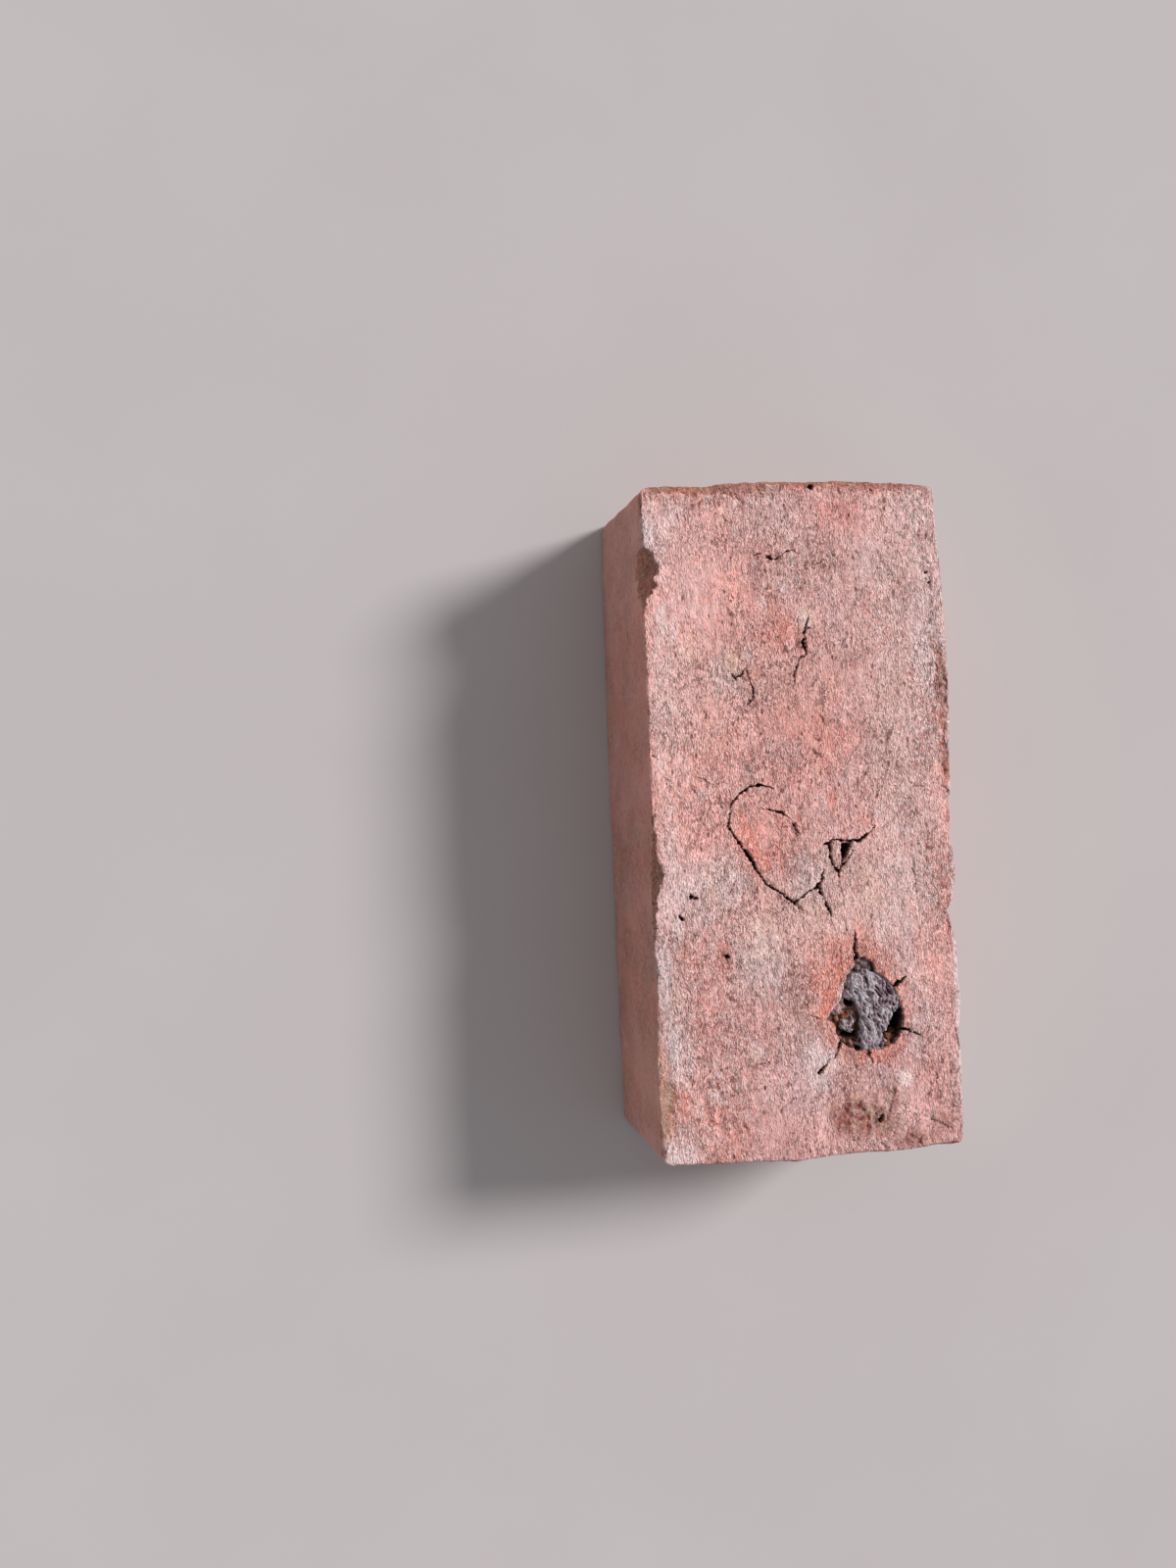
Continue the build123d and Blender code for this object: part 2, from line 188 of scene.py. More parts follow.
# Cracks: depth, then points with the half width there
CRACKS = (
    # Oval drying crack with its branches
    (3.6, ((-11.5, -12.3, 0.15), (-13, -16.6, 0.4), (-12.2, -20.7, 0.3), (-9.7, -25, 0.55),
           (-7.4, -27.2, 0.3), (-5.6, -28.2, 0.06), (-3.6, -28.7, 0.06), (-1.6, -29, 0.2),
           (1.5, -29.3, 0.45), (4.8, -27.9, 0.45), (9.8, -24.3, 0.35), (13.7, -21.8, 0.75),
           (18.5, -19.2, 0.4), (22.9, -16.6, 0.3), (25.4, -12.7, 0.35), (27.5, -9.5, 0.3), (30.8, -6, 0.4),
           (27, -0.1, 0.25), (25.1, 3.2, 0.5), (23.2, 5, 0.45), (19, 6.4, 0.15))),
    (3, ((25.1, 3.7, 0.5), (27.1, 4.8, 0.55), (30, 6, 0.15))),
    (3, ((30.9, 6.2, 0.2), (33.4, 7.4, 0.55), (35.9, 8.5, 0.35), (37.8, 8, 0.15))),
    (1.2, ((30.2, -4.6, 0.2), (32.8, -4, 0.12))),
    (2.4, ((-4.4, -17.4, 0.15), (-3.4, -11.8, 0.3), (-2.3, -8.6, 0.45), (-1, -6.6, 0.2), (2.3, -4.8, 0.25),
           (6, -2.5, 0.1))),
    # Round the lifted flap of skin
    (3.4, ((9.7, 7.2, 0.3), (8.8, 9, 0.4), (8.2, 11.4, 0.35), (8.6, 13.5, 0.35), (9, 18, 0.5),
           (8.8, 20.9, 0.5), (6.9, 23.5, 0.45), (5.7, 25.7, 0.3), (3.5, 26.9, 0.12))),
    (3.4, ((9.4, 8.4, 0.4), (11.7, 8.8, 0.5), (15.7, 9.2, 0.4), (18.5, 10.5, 0.4), (20.1, 11.9, 0.5),
           (22.5, 12, 0.15))),
    (2, ((19.5, 12.3, 0.3), (18.2, 13.2, 0.3), (15.4, 16, 0.25), (12, 18.4, 0.15))),
    (0.8, ((22.8, 11.8, 0.15), (29.5, 13.4, 0.2), (37.2, 12.6, 0.1))),
    # Out from the pit
    (4, ((53.5, 17.3, 0.9), (51, 17.2, 0.6), (48.5, 17, 0.45), (45.8, 17.4, 0.35), (41.8, 17.1, 0.12))),
    (4, ((64.5, 29.5, 0.9), (62.6, 32, 0.65), (61.6, 34.8, 0.5), (60, 37.4, 0.12))),
    (4, ((79.6, 33, 0.6), (79.9, 36.1, 0.45), (81.1, 38.5, 0.3), (82.3, 41.3, 0.15))),
    (3, ((86, 20.6, 0.5), (89.4, 21.5, 0.3), (92, 21.8, 0.12))),
    (3, ((82, 10, 0.6), (85.6, 8.8, 0.4), (88.6, 7.1, 0.2))),
    (3, ((88.1, 5.3, 0.2), (90.6, 3.4, 0.4), (92.9, 1.5, 0.8), (93.6, 1.2, 0.4))),
    (1.2, ((71, -2.9, 0.12), (72.8, 0.2, 0.25), (73.6, 2.8, 0.2))),
    # Rip and short cracks in the other half
    (3, ((-73.4, 4.1, 0.2), (-70.3, 3.3, 0.4), (-67.8, 2.5, 0.45), (-64.7, 2.1, 0.6), (-61.6, 2.9, 0.5),
         (-59.9, 2.3, 0.4), (-58.6, 0.2, 0.25), (-56, -0.8, 0.35), (-53, -1.7, 0.25), (-49.1, -2.1, 0.12))),
    (1.5, ((-69, 3.2, 0.25), (-70.1, 6.5, 0.12))),
    (2, ((-54.6, -20.4, 0.2), (-49.9, -18.6, 0.3), (-46.8, -18.1, 0.45), (-43.8, -18.6, 0.35),
         (-42.5, -20.1, 0.45))),
    (2, ((-53.7, -26.1, 0.25), (-52.1, -24.6, 0.4), (-52.8, -22.6, 0.35), (-55.1, -20.9, 0.25),
         (-57.2, -19.9, 0.15))),
    (1, ((-53.8, -29.9, 0.12), (-52.2, -27.3, 0.2))),
    (2.2, ((-96.6, -15.6, 0.2), (-97.5, -13.6, 0.3), (-97, -12.6, 0.1))),
    (2.2, ((-96.9, -11.5, 0.2), (-96, -9.1, 0.4), (-95.5, -6.8, 0.35), (-96.2, -5.4, 0.25),
           (-97.9, -3.5, 0.18), (-98.8, 0.2, 0.12))),
    (1.5, ((-82.8, -25.3, 0.3), (-81.3, -24.4, 0.3))),
    (1, ((-98.4, 14, 0.12), (-94.4, 17.1, 0.2), (-93.5, 18.9, 0.1))),
    (1.2, ((-16.7, -41.5, 0.12), (-16, -38.3, 0.25), (-14, -35.9, 0.2), (-13.6, -31.5, 0.12))),
    (1.2, ((-26.5, -58.5, 0.3), (-22.3, -53.7, 0.2))),
    (1, ((-12.4, 41, 0.12), (-10.6, 43.1, 0.25), (-9.8, 47.4, 0.12))),
    (0.8, ((-39.2, 19, 0.1), (-40, 21.5, 0.18), (-42.5, 24.4, 0.1))),
    (0.8, ((-1.3, 42.3, 0.1), (1.8, 40, 0.18), (9.8, 37.7, 0.1))),
    (0.6, ((20.4, 41, 0.15), (25.7, 41.1, 0.2), (31.6, 42.3, 0.1))),
    (1, ((97.2, 31.8, 0.1), (102.9, 29.9, 0.2), (109, 27.9, 0.15))),
    (0.9, ((91.3, -31, 0.12), (88.6, -28, 0.25))),
    (0.9, ((88.4, -22.6, 0.15), (87.6, -17.5, 0.25))),
)

# Short tears in the skin: ends (X, Y, X, Y) and half width
MARKS = (
    (-37.2, 6.8, -34.3, 9.3, 0.3), (-29, 5.7, -27.9, 7.1, 0.35), (-25.1, 3.6, -22.1, 6.9, 0.2),
    (-98.3, 23.4, -96.8, 25.3, 0.4), (-95.3, 50.6, -93.5, 53.7, 0.25), (-86.1, 52.1, -83.5, 53.6, 0.4),
    (50.4, 33.9, 54.9, 36.8, 0.25), (52.6, 56.9, 55.6, 58.8, 0.4), (81, 55.2, 88.4, 56.8, 0.3),
    (-64.6, 1.4, -63.4, -1, 0.3), (-67.6, 3.6, -66, 5.8, 0.3), (-61.2, 3.2, -60.2, 5.2, 0.25),
    (-69.8, 3.2, -71.4, 6.6, 0.25), (-62.6, 1.8, -61.8, 0, 0.25), (118.2, 35.7, 124.2, 41.3, 0.5),
    (113.5, 43.8, 118, 53.4, 0.2), (120.8, 24, 122.8, 26.6, 0.6), (92, -41.4, 97.4, -38.7, 0.2),
    (109.2, -28.8, 110.6, -27.4, 0.35), (62.1, -32.8, 67.7, -27.5, 0.15),
    (-112.5, -36.2, -109.7, -34.8, 0.2), (-111.5, -27.8, -108.7, -25.7, 0.35),
    (-101.5, -31.9, -99, -27.2, 0.25), (-82.4, -43, -80.6, -43.4, 0.3), (-76, -25.2, -73.8, -25, 0.3),
    (-73, -28.6, -71.6, -28, 0.3), (-41.5, -49.6, -39.2, -50.2, 0.2), (-40.6, -37, -37.6, -36.8, 0.25),
    (-19.8, -21.8, -17.2, -20, 0.3), (-19.8, -17.6, -17.6, -17.4, 0.2), (-10.4, -33, -5.2, -32.2, 0.2),
    (-65, 51.6, -60, 53, 0.25), (-57, 53, -53, 56, 0.25), (-52, 57.4, -46, 58.4, 0.35),
    (-63, 56.2, -57, 56.8, 0.25), (-43, 57.2, -36.4, 58.6, 0.35), (-33, 56.6, -29, 56, 0.3),
    (-92, 52.4, -86, 53.2, 0.15), (-76, 53, -70, 52.4, 0.2), (-48, 53.4, -42, 52.6, 0.2),
    (-28.6, 55, -19, 58, 0.45), (-10, 54.6, -6.4, 58, 0.4), (16.3, 41, 27.3, 42.4, 0.2),
    (14.6, 44.9, 21, 48.2, 0.18), (37.7, 53.2, 46.4, 56.6, 0.35), (105.6, 9.6, 108.4, 11.4, 0.35),
    (108.8, 12.4, 111.2, 13.6, 0.4), (106.4, 15.6, 108, 18.4, 0.35), (113.6, 19, 115.6, 20, 0.35),
    (108.6, 21.4, 110.2, 22.8, 0.4), (-121.6, -28, -119.6, -25.6, 0.4), (-118, -21.6, -115.6, -18.8, 0.35),
    (-120.4, -12.4, -118, -11.2, 0.35), (-121.4, 18, -119.8, 18.6, 0.35), (-121, 30.4, -119.2, 31.4, 0.4),
    (-120.6, 44, -119.4, 45.4, 0.35),
)

# Holes through the skin: X, Y, radius, depth
HOLES = (
    (26.4, -44.3, 1, 2.6), (27, -42.9, 0.6, 1.4), (34, -48.6, 0.8, 2.4), (33, -48.9, 0.5, 1.4),
    (48.9, -31.9, 0.8, 1.8), (47.9, -32.9, 0.5, 1.2), (112.3, 24.1, 1, 2.6), (110.8, 25, 0.8, 1.4),
    (98.8, 47.5, 0.45, 1.6), (-122.4, 7.7, 1.4, 1.8), (-90.2, 51.6, 0.6, 1.2), (-86.5, 52.6, 0.7, 1.6),
)
FLAP_HOLE = ((9.2, 13.4), (9.2, 17.9), (11.4, 17.4), (14.4, 15.4), (18.3, 12.9), (14.2, 13))
FLAP_HOLE_DEPTH = 4.2
FLAP = (13.6, 11, 6, 2.2, 0.5)   # raised skin beside its hole: X, Y, reaches, rise

# Edges of lifted skin: rise of the side to the right of the line, then its points
LEDGES = (
    (1, ((95, 33.6), (97, 32.8), (104.3, 29.4), (109.6, 28), (114, 27.6))),
    (0.6, ((-20.3, 17.5), (-15, 16.2), (-10.3, 14.7))), (0.5, ((-5, 39.6), (-1, 42.4), (3.7, 45.1))),
    (0.5, ((16, 40.6), (22, 41.6), (27.3, 42.4), (32.8, 42.9))), (-0.4, ((13, 44), (18, 46.6), (21, 48.2))),
    (-0.6, ((36, 52.4), (40, 54), (46.4, 56.8))), (0.5, ((112, 43), (115, 47), (118, 53.4))),
    (-0.5, ((-66, 52), (-58, 53.4), (-52, 57))), (0.4, ((-20.5, 16.6), (-13.4, 14.8), (-8, 12))),
    (0.4, ((0, 41), (5, 38.6), (12, 37.6))), (-0.4, ((18, 40.6), (26, 41.4), (34, 43))),
    (0.35, ((40, 39), (50, 41), (58, 40))), (-0.35, ((-76, 50), (-64, 51.5), (-52, 50.5), (-40, 52))),
)

# Round dents and pimples: X, Y, radius, rise of the middle
BUTTONS = (
    (-110, -26, 2.4, 0.5), (-80, -13, 1.5, 0.4), (-86, -3, 1.6, -0.5), (-19.2, -21.8, 1.6, -0.8),
    (-16, -19, 1.2, 0.4), (-64, 50, 2.6, 0.5), (-77, 49, 2.8, 0.4), (-50, -41, 1.6, 0.3),
    (-37, 17, 1.2, -0.5), (-35, 10, 1.2, -0.5), (-29, 6, 0.9, -0.5), (48, -35.4, 1.2, 0.6),
    (-55, -25, 5, 0.5), (-86, -28, 1.2, -0.4), (-44, 24, 3, 0.3), (-102, -47, 3, 0.3), (-95, 47, 1.6, 0.4),
    (70, -46, 2.2, 0.3), (15, 46, 3.4, 0.3), (99, -14, 2, 0.3),
)

# Patches of each mask: their seed, then X, Y, reach along X, reach along Y, strength
PATCHES = {
    "torn": (51, (   # rough places where the skin is off
        (110, 15, 8, 11, 1), (113, 26, 6, 6, 0.9), (104, 30, 5, 3, 0.5), (120, 38, 4, 11, 0.8),
        (-122, -20, 3, 16, 0.8), (-123, 30, 2.4, 26, 0.6), (-47, 56.5, 18, 2.2, 0.8),
        (-20, 57, 8, 2.4, 0.9), (115, 50, 6, 5, 0.5), (49, -33, 2.6, 2.6, 0.6), (-66, 0.5, 9, 1.6, 0.5),
        (-54, -20, 3, 5, 0.4), (93, 2, 3, 3, 0.3), (-96, -10, 3, 7, 0.3), (86, -24, 4, 5, 0.4),
    )),
    "coarse": (60, (   # wrinkled and lumpy places
        (-95, 7, 14, 14, 1), (-117, -24, 5, 16, 1), (-106, -24, 5, 6, 0.8), (-12, -28, 8, 20, 0.6),
        (90, -40, 24, 14, 0.9), (-73, 53, 30, 5, 0.9), (24, 50, 30, 7, 0.8), (-14, -49, 12, 8, 0.7),
        (-30, 50, 26, 8, 0.8), (0, 40, 10, 6, 0.8), (-80, 30, 20, 14, 0.5), (-20, 16, 10, 6, 0.7),
        (-1, 22, 10, 16, 0.5), (56, -46, 24, 10, 0.6), (-66, 10, 10, 8, 0.6), (112, 22, 10, 18, 1),
        (-110, 40, 10, 16, 0.5), (-45, -25, 12, 10, 0.5), (70, 45, 16, 8, 0.5),
    )),
    "sandy": (64, (   # places of coarser, stronger grain
        (66, -32, 20, 26, 1), (80, -10, 16, 20, 0.9), (40, -36, 18, 18, 0.8), (30, 12, 14, 14, 0.5),
        (-97, -4, 10, 16, 0.8), (54, 38, 12, 10, 0.5), (82, 38, 10, 8, 0.8), (-60, 50, 26, 8, 0.6),
        (-53, -25, 12, 10, 0.5), (-25, 48, 14, 8, 0.6),
    )),
    "calm": (45, (   # places of finer, weaker grain
        (-88, -36, 30, 11, 1), (-92, 24, 34, 16, 0.8), (-3, -8, 16, 11, 1), (112, -26, 14, 30, 0.8),
        (110, 0, 10, 10, 1), (-38, -4, 12, 12, 0.8), (-8, 28, 18, 12, 0.7), (-28, -48, 30, 9, 0.5),
        (100, 30, 14, 12, 0.6), (112, 42, 12, 10, 0.6), (12, -16, 12, 8, 0.6), (-20, 8, 16, 10, 0.5),
    )),
    "rosy": (46, (   # bright rose skin
        (-74, -38, 56, 28, 0.8), (-12, -34, 34, 26, 0.8), (60, -46, 30, 14, 0.8), (98, -46, 22, 14, 0.8),
        (-8, -12, 16, 12, 0.6), (58, 12, 14, 14, 0.8), (50, -2, 10, 8, 0.5), (60, 48, 14, 12, 0.5),
    )),
    "ash": (47, (   # pale skin with little red
        (-30, 38, 78, 16, 0.9), (28, 30, 20, 34, 0.9), (30, -2, 14, 18, 0.8), (24, -34, 10, 16, 0.7),
        (-100, 50, 26, 12, 0.5), (47, -20, 14, 12, 0.7), (-95, -6, 10, 10, 0.5), (-62, 50, 30, 9, 0.9),
        (22, 2, 8, 8, 0.8), (22, -32, 10, 10, 0.8), (-53, -32, 10, 8, 0.6),
    )),
    "dusk": (48, (   # dull mauve skin
        (80, -4, 18, 15, 0.8), (106, 0, 22, 20, 0.6), (62, -16, 16, 14, 0.5), (102, 28, 18, 14, 0.5),
        (108, -5, 24, 60, 0.5),
    )),
    "dark": (49, (   # deeper rose skin
        (-83, -37, 12, 9, 0.8), (-98, 25, 12, 10, 0.9), (-38, 0, 14, 18, 0.8), (-53, 14, 12, 12, 0.7),
        (-8, -7, 12, 11, 0.6), (-68, -27, 10, 9, 0.5), (114, -24, 14, 20, 0.95), (100, -30, 12, 12, 0.8),
        (67, -3, 8, 7, 0.9), (97, 38, 11, 9, 0.5), (82, -20, 8, 6, 0.3),
    )),
    "orange": (54, (
        (-121.5, -42, 2.4, 17, 1), (96, -52.6, 9, 1.3, 1), (-46, 55.5, 19, 2.6, 0.9), (-20, 56.5, 10, 2, 1),
        (40, 54.5, 9, 2, 0.8), (112, 11, 4, 6, 0.7), (47, -33, 4, 2.4, 1), (12, -21, 14, 6, 0.9),
        (54, 11.5, 5, 5, 1), (59, 10, 5, 3.4, 1), (65, 6.5, 6, 4.4, 1), (72, 3, 5, 3, 0.8),
        (52, 24, 4, 5, 0.9), (56, 29, 5, 5.5, 0.9), (62, 33, 4, 4, 0.6), (88, 20, 3, 5, 0.6),
        (84, 33, 4, 4, 0.6), (-70, -7, 9, 6, 0.8), (-27, 15, 6, 6, 0.7), (4, -56, 17, 2, 1),
        (51, -33, 6, 4.5, 0.7), (45, -48, 7, 2.4, 0.6), (3, 22, 5, 6, 0.6), (-6, 11, 6, 2.2, 0.9),
        (89, 26, 3.5, 7, 0.8), (-123, 20, 3, 36, 0.7), (-113, 16, 7, 13, 0.5), (112, -40, 12, 14, 0.6),
        (100, -50.5, 10, 2.2, 0.9), (52, -51, 7, 2.6, 0.8), (57, 46, 16, 7, 0.5), (-119, -50, 4, 8, 0.8),
        (75, 8.6, 5, 3, 0.9), (112, 18, 7, 10, 0.5), (-45, 12, 12, 6, 0.3), (28, 54, 12, 4, 0.4),
        (100, 46, 14, 8, 0.3), (-55, 55, 16, 2.6, 0.5), (12, -12, 16, 11, 0.5), (4, -24, 8, 4, 0.9),
        (-30, 2, 24, 18, 0.35), (58, 27.5, 4, 3, 1), (62, 32, 4, 2.6, 1), (68, 37, 6, 2.2, 0.9),
        (78, 37, 5, 2.2, 0.8), (57, 13, 3, 2.6, 1), (62, 9, 4, 2.2, 1), (52, 15.5, 3, 3, 1),
        (16, -16, 7, 4, 0.8), (48, 14, 5, 4, 0.8), (44, 20, 6, 4, 0.5), (59, 4, 9, 7, 0.8),
        (50, 9, 8, 8, 0.6), (68, 0, 5, 4, 0.5), (108, 14, 9, 10, 0.5),
    )),
    "beige": (56, (   # dust, as the next two are, though thin strips of the pale are a painted highlight
        (45, -19, 15, 10, 0.8), (36, -1, 12, 11, 0.7), (27, 22, 10, 6, 0.8), (-62, -41, 8, 5, 0.8),
        (-57, -25, 7, 5, 0.8), (76, -5, 10, 7, 0.5), (-48, 1, 16, 18, 0.35), (-40, -38, 20, 12, 0.3),
        (20, -36, 8, 6, 0.4), (8, 2, 10, 8, 0.3),
    )),
    "grey": (58, (
        (-90, -16, 8, 4.5, 0.8), (-86, 22, 8, 9, 0.7), (-66, 18, 14, 9, 0.6), (-22, 28, 6, 7, 0.8),
        (-25, -6, 7, 10, 0.6), (17, -43, 4, 3.4, 0.9), (62, -12, 7, 9, 0.6), (85, -9, 5, 9, 0.6),
        (-116, -44, 6, 7, 0.5), (101, -13, 6, 6, 0.5), (-19.3, -21.8, 2.2, 2.2, 1),
        (-15, -18.6, 2, 1.4, 0.8), (-20, 45, 12, 6, 0.4), (47, -34.8, 1.6, 1.4, 0.9),
        (-5, -29.4, 3, 2.6, 1), (-112, -22, 8, 10, 0.5), (70, -28, 14, 8, 0.5), (100, 30, 12, 8, 0.4),
        (-84, 40, 14, 8, 0.5),
    )),
    "pale": (52, (
        (46, -56.6, 9, 1.7, 1), (60, -55.2, 12, 1.9, 1), (76, -53, 11, 2, 1), (88, -51.6, 8, 1.6, 0.8),
        (-105, -54.6, 9, 3, 1), (-74, -51, 7, 2.4, 0.7), (-70, -47, 9, 2, 0.5), (-111, -44, 6, 4, 0.4),
        (26, -46, 7, 5, 0.6), (33, -41, 8, 6, 0.4), (118, -54, 7, 4, 1), (116, -49, 10, 9, 0.45),
        (80, -50, 14, 5, 0.4), (56, -52, 14, 4, 0.4), (91, 2, 9, 5.5, 0.9), (-74, 3, 4, 3, 0.8),
        (37, -50, 10, 4, 0.6), (-60, 50, 18, 5, 0.6), (-89, 51, 3, 1.8, 0.9), (84, -22, 3.5, 3, 0.7),
        (24, 38, 6, 2, 0.5), (98, 33.5, 4, 1.6, 0.6), (-85, -5, 2, 1.4, 0.7), (-80, -13, 2, 1.6, 0.7),
        # the first three patches below, thin strips along the right arris, are a painted highlight
        (-42, 57.5, 40, 1.4, 0.8), (66, 57, 50, 1.3, 1), (-96, 56.8, 22, 0.9, 0.7), (66, 10.6, 6, 1.1, 0.8),
        (-60, -20, 3, 4, 0.4), (70, 42, 10, 5, 0.3), (40, 33, 10, 6, 0.3), (-95, 30, 12, 9, 0.3),
        (-112, -10, 8, 14, 0.3), (-90, -42, 26, 12, 0.2), (-45, -46, 30, 9, 0.2), (-96, 40, 22, 12, 0.2),
        (60, 38, 22, 12, 0.25), (-104, -52, 18, 7, 0.5), (-50, -52, 36, 6, 0.4), (20, -52, 30, 7, 0.45),
        (22, -32, 10, 12, 0.45), (22, 0, 9, 9, 0.45), (-53, -28, 8, 6, 0.4), (52, -20, 12, 9, 0.4),
        (66, -50, 14, 5, 0.4), (-56, 51, 14, 5, 0.4), (22, 38, 10, 8, 0.35), (85.5, -1, 4.5, 3.4, 1),
        (93, 4.6, 3, 3, 0.8), (97.5, 34.5, 3, 3, 1), (58, -55.5, 22, 3, 1), (80, -53, 12, 3.2, 1),
        (119, -53, 8, 6, 1), (-80, 51, 46, 7, 0.4), (-114, 48, 12, 10, 0.4), (82, 39, 9, 5, 0.4),
    )),
    "cream": (66, (   # pale lumps and crumbs
        (-57.5, -25.8, 3.8, 3.6, 0.9), (-74.6, 4.6, 2.4, 2, 1), (-72, 6.6, 1.4, 1.2, 0.8),
        (-88.6, 51.2, 1.7, 1.3, 1), (48.6, -34.8, 1.5, 1.2, 1), (114.6, 24, 2.2, 2.6, 0.9),
        (-110.4, -27.2, 2.2, 1.4, 0.8), (-107, -23.6, 1.5, 1.2, 0.7), (-87.6, -12.4, 1.4, 1.2, 0.9),
        (-78.6, -14.6, 1.4, 1.2, 0.8), (84, -22.6, 3, 2, 0.7), (92, 4.6, 2.4, 2.4, 0.4),
        (-121, -38, 1.2, 6, 0.8), (25, 36, 3, 1.6, 0.5), (62, -50.4, 2.6, 2.2, 0.4),
        (26.4, -35.4, 3, 2.4, 0.5), (97, 35, 2, 1.6, 0.7),
    )),
    "tan": (62, (   # smooth slopes bared along the left edge
        (98, -58.6, 16, 4.2, 1), (84, -59.5, 10, 2.6, 1), (104, -57.4, 8, 3.6, 1), (-88, -58, 8, 3, 0.5),
    )),
}


def srgb(red, green, blue):
    """Linear colour of an 8-bit display colour."""
    shares = [level / 255 for level in (red, green, blue)]
    return (*[v / 12.92 if v <= 0.04045 else ((v + 0.055) / 1.055)**2.4 for v in shares], 1.0)


CLAY_ROSE = srgb(246, 189, 184)
CLAY_SALMON = srgb(249, 179, 169)
CLAY_MAUVE = srgb(233, 190, 191)
CLAY_LIGHT = srgb(255, 221, 214)
CLAY_ROSY = srgb(255, 182, 170)
CLAY_ASH = srgb(240, 204, 199)
CLAY_DUSK = srgb(220, 188, 191)
CLAY_DEEP = srgb(212, 156, 150)
CLAY_ORANGE = srgb(242, 136, 112)
# Grain colours: redder clay with painted shade in the valleys, pale dust with painted highlight on the crests
VALLEY_RED_AND_SHADE = srgb(182, 118, 110)
CREST_DUST_AND_HIGHLIGHT = srgb(255, 213, 207)
CLAY_RUST = srgb(218, 134, 116)
CLAY_CREAM = srgb(248, 206, 190)
DUST_BEIGE = srgb(232, 192, 170)
DUST_GREY = srgb(206, 170, 168)
# Pale dust, also used for the painted highlight on the pit's rim and along the right arris
PALE_DUST_AND_HIGHLIGHT = srgb(255, 232, 231)
DUST_CREAM = srgb(250, 212, 184)
# Painted shade: dark specks that stand for the shadows in tiny pits
SPECK_SHADE = srgb(90, 70, 74)
SCAB_GREY = srgb(240, 218, 216)
LUMP_CREAM = srgb(255, 208, 186)
HALO_ORANGE = srgb(240, 130, 100)
WALL_BROWN = srgb(196, 128, 106)
TORN_RUST = srgb(214, 110, 76)
# Brown of crumbs, also used as painted shade in pores, tears, cracks and little holes
CRUMB_BROWN_AND_SHADE = srgb(136, 76, 60)
CRUMB_ORANGE = srgb(216, 146, 112)
BROKEN_BROWN = srgb(202, 132, 110)
BROKEN_TAN = srgb(238, 182, 158)
BROKEN_DEEP = srgb(226, 142, 118)
TAN_LIGHT = srgb(255, 216, 198)
TAN_DEEP = srgb(252, 188, 162)
# Pit colours: dark red-brown of the burnt clay, partly painted shade; the black is painted shade deep in the
# pit
PIT_RED_AND_SHADE = srgb(92, 50, 42)
PIT_BROWN_AND_SHADE = srgb(90, 54, 42)
PIT_SHADE_BLACK = srgb(16, 8, 8)
# Painted highlight on the lit wall of the pit
PIT_WALL_HIGHLIGHT = srgb(248, 206, 200)
SLAG_DARK = srgb(104, 68, 70)
SLAG_GREY = srgb(220, 192, 200)
SLAG_LIGHT = srgb(255, 244, 250)
SLAG_MAUVE = srgb(192, 152, 162)
# Painted shade inside the cracks
CRACK_SHADE_BLACK = srgb(26, 12, 10)
FLOOR_GREY = srgb(186, 179, 179)
FLOOR_PALE = srgb(193, 187, 187)


def smoothstep(low, high, values):
    """0 below low, 1 above high, and smooth between."""
    t = np.clip((values - low) / (high - low), 0.0, 1.0)
    return t * t * (3.0 - 2.0 * t)


def lattice_hash(cell, seed):
    """A well mixed whole number for each lattice cell."""
    mask = np.uint64(0xFFFFFFFF)
    mixed = np.full(len(cell), seed * 974634777 % 4294967296, np.uint64)
    for k, factor in enumerate((374761393, 668265263, 1440662683)):
        mixed += (cell[:, k].astype(np.int64).astype(np.uint64) & mask) * np.uint64(factor)
    mixed &= mask
    for shift, factor in ((13, 1274126177), (15, 2246822519)):
        mixed = ((mixed ^ (mixed >> np.uint64(shift))) * np.uint64(factor)) & mask
    return mixed ^ (mixed >> np.uint64(16))


def noise(points, size, seed):
    """Gradient noise from about -1 to 1. size is the cell in mm, one number or one an axis."""
    scaled = points / np.asarray(size, float)
    cell = np.floor(scaled)
    part = scaled - cell
    fade = part * part * part * (part * (part * 6 - 15) + 10)
    total = np.zeros(len(points))
    for corner in range(8):
        offset = np.array([corner & 1, corner >> 1 & 1, corner >> 2 & 1], float)
        mixed = lattice_hash(cell + offset, seed)
        slope = np.stack([(mixed >> np.uint64(shift) & np.uint64(1023)).astype(float) / 511.5 - 1
                          for shift in (0, 10, 20)], axis=1)
        weight = np.prod(np.where(offset > 0, fade, 1 - fade), axis=1)
        total += weight * np.sum(slope * (part - offset), axis=1)
    return total * 1.4


def ridges(points, size, seed):
    """Thin crests with rounded valleys between, from 0 to 1."""
    return np.clip(1 - 2.2 * np.abs(noise(points, size, seed)), 0, 1)


def lifted(flat):
    """Points in plan as rows of X, Y and zero."""
    return np.column_stack([flat, np.zeros(len(flat))])


def jittered(flat, seed):
    """Points shifted a little, so that lines drawn on them come out ragged."""
    place = lifted(flat)
    shifts = [0.55 * noise(place, 2.7, seed + k) + 0.5 * noise(place, 1.2, seed + 5 + k)
              + 0.25 * noise(place, 0.6, seed + 9 + k) for k in (0, 1)]
    return flat + np.stack(shifts, axis=1)


def side_nodes(name):
    """One side of the top face as places along it and the offsets there."""
    start, profile, end, along = SIDES[name][:4]
    nodes = np.array([start, *profile, end])
    return nodes[:, along], nodes[:, 1 - along]


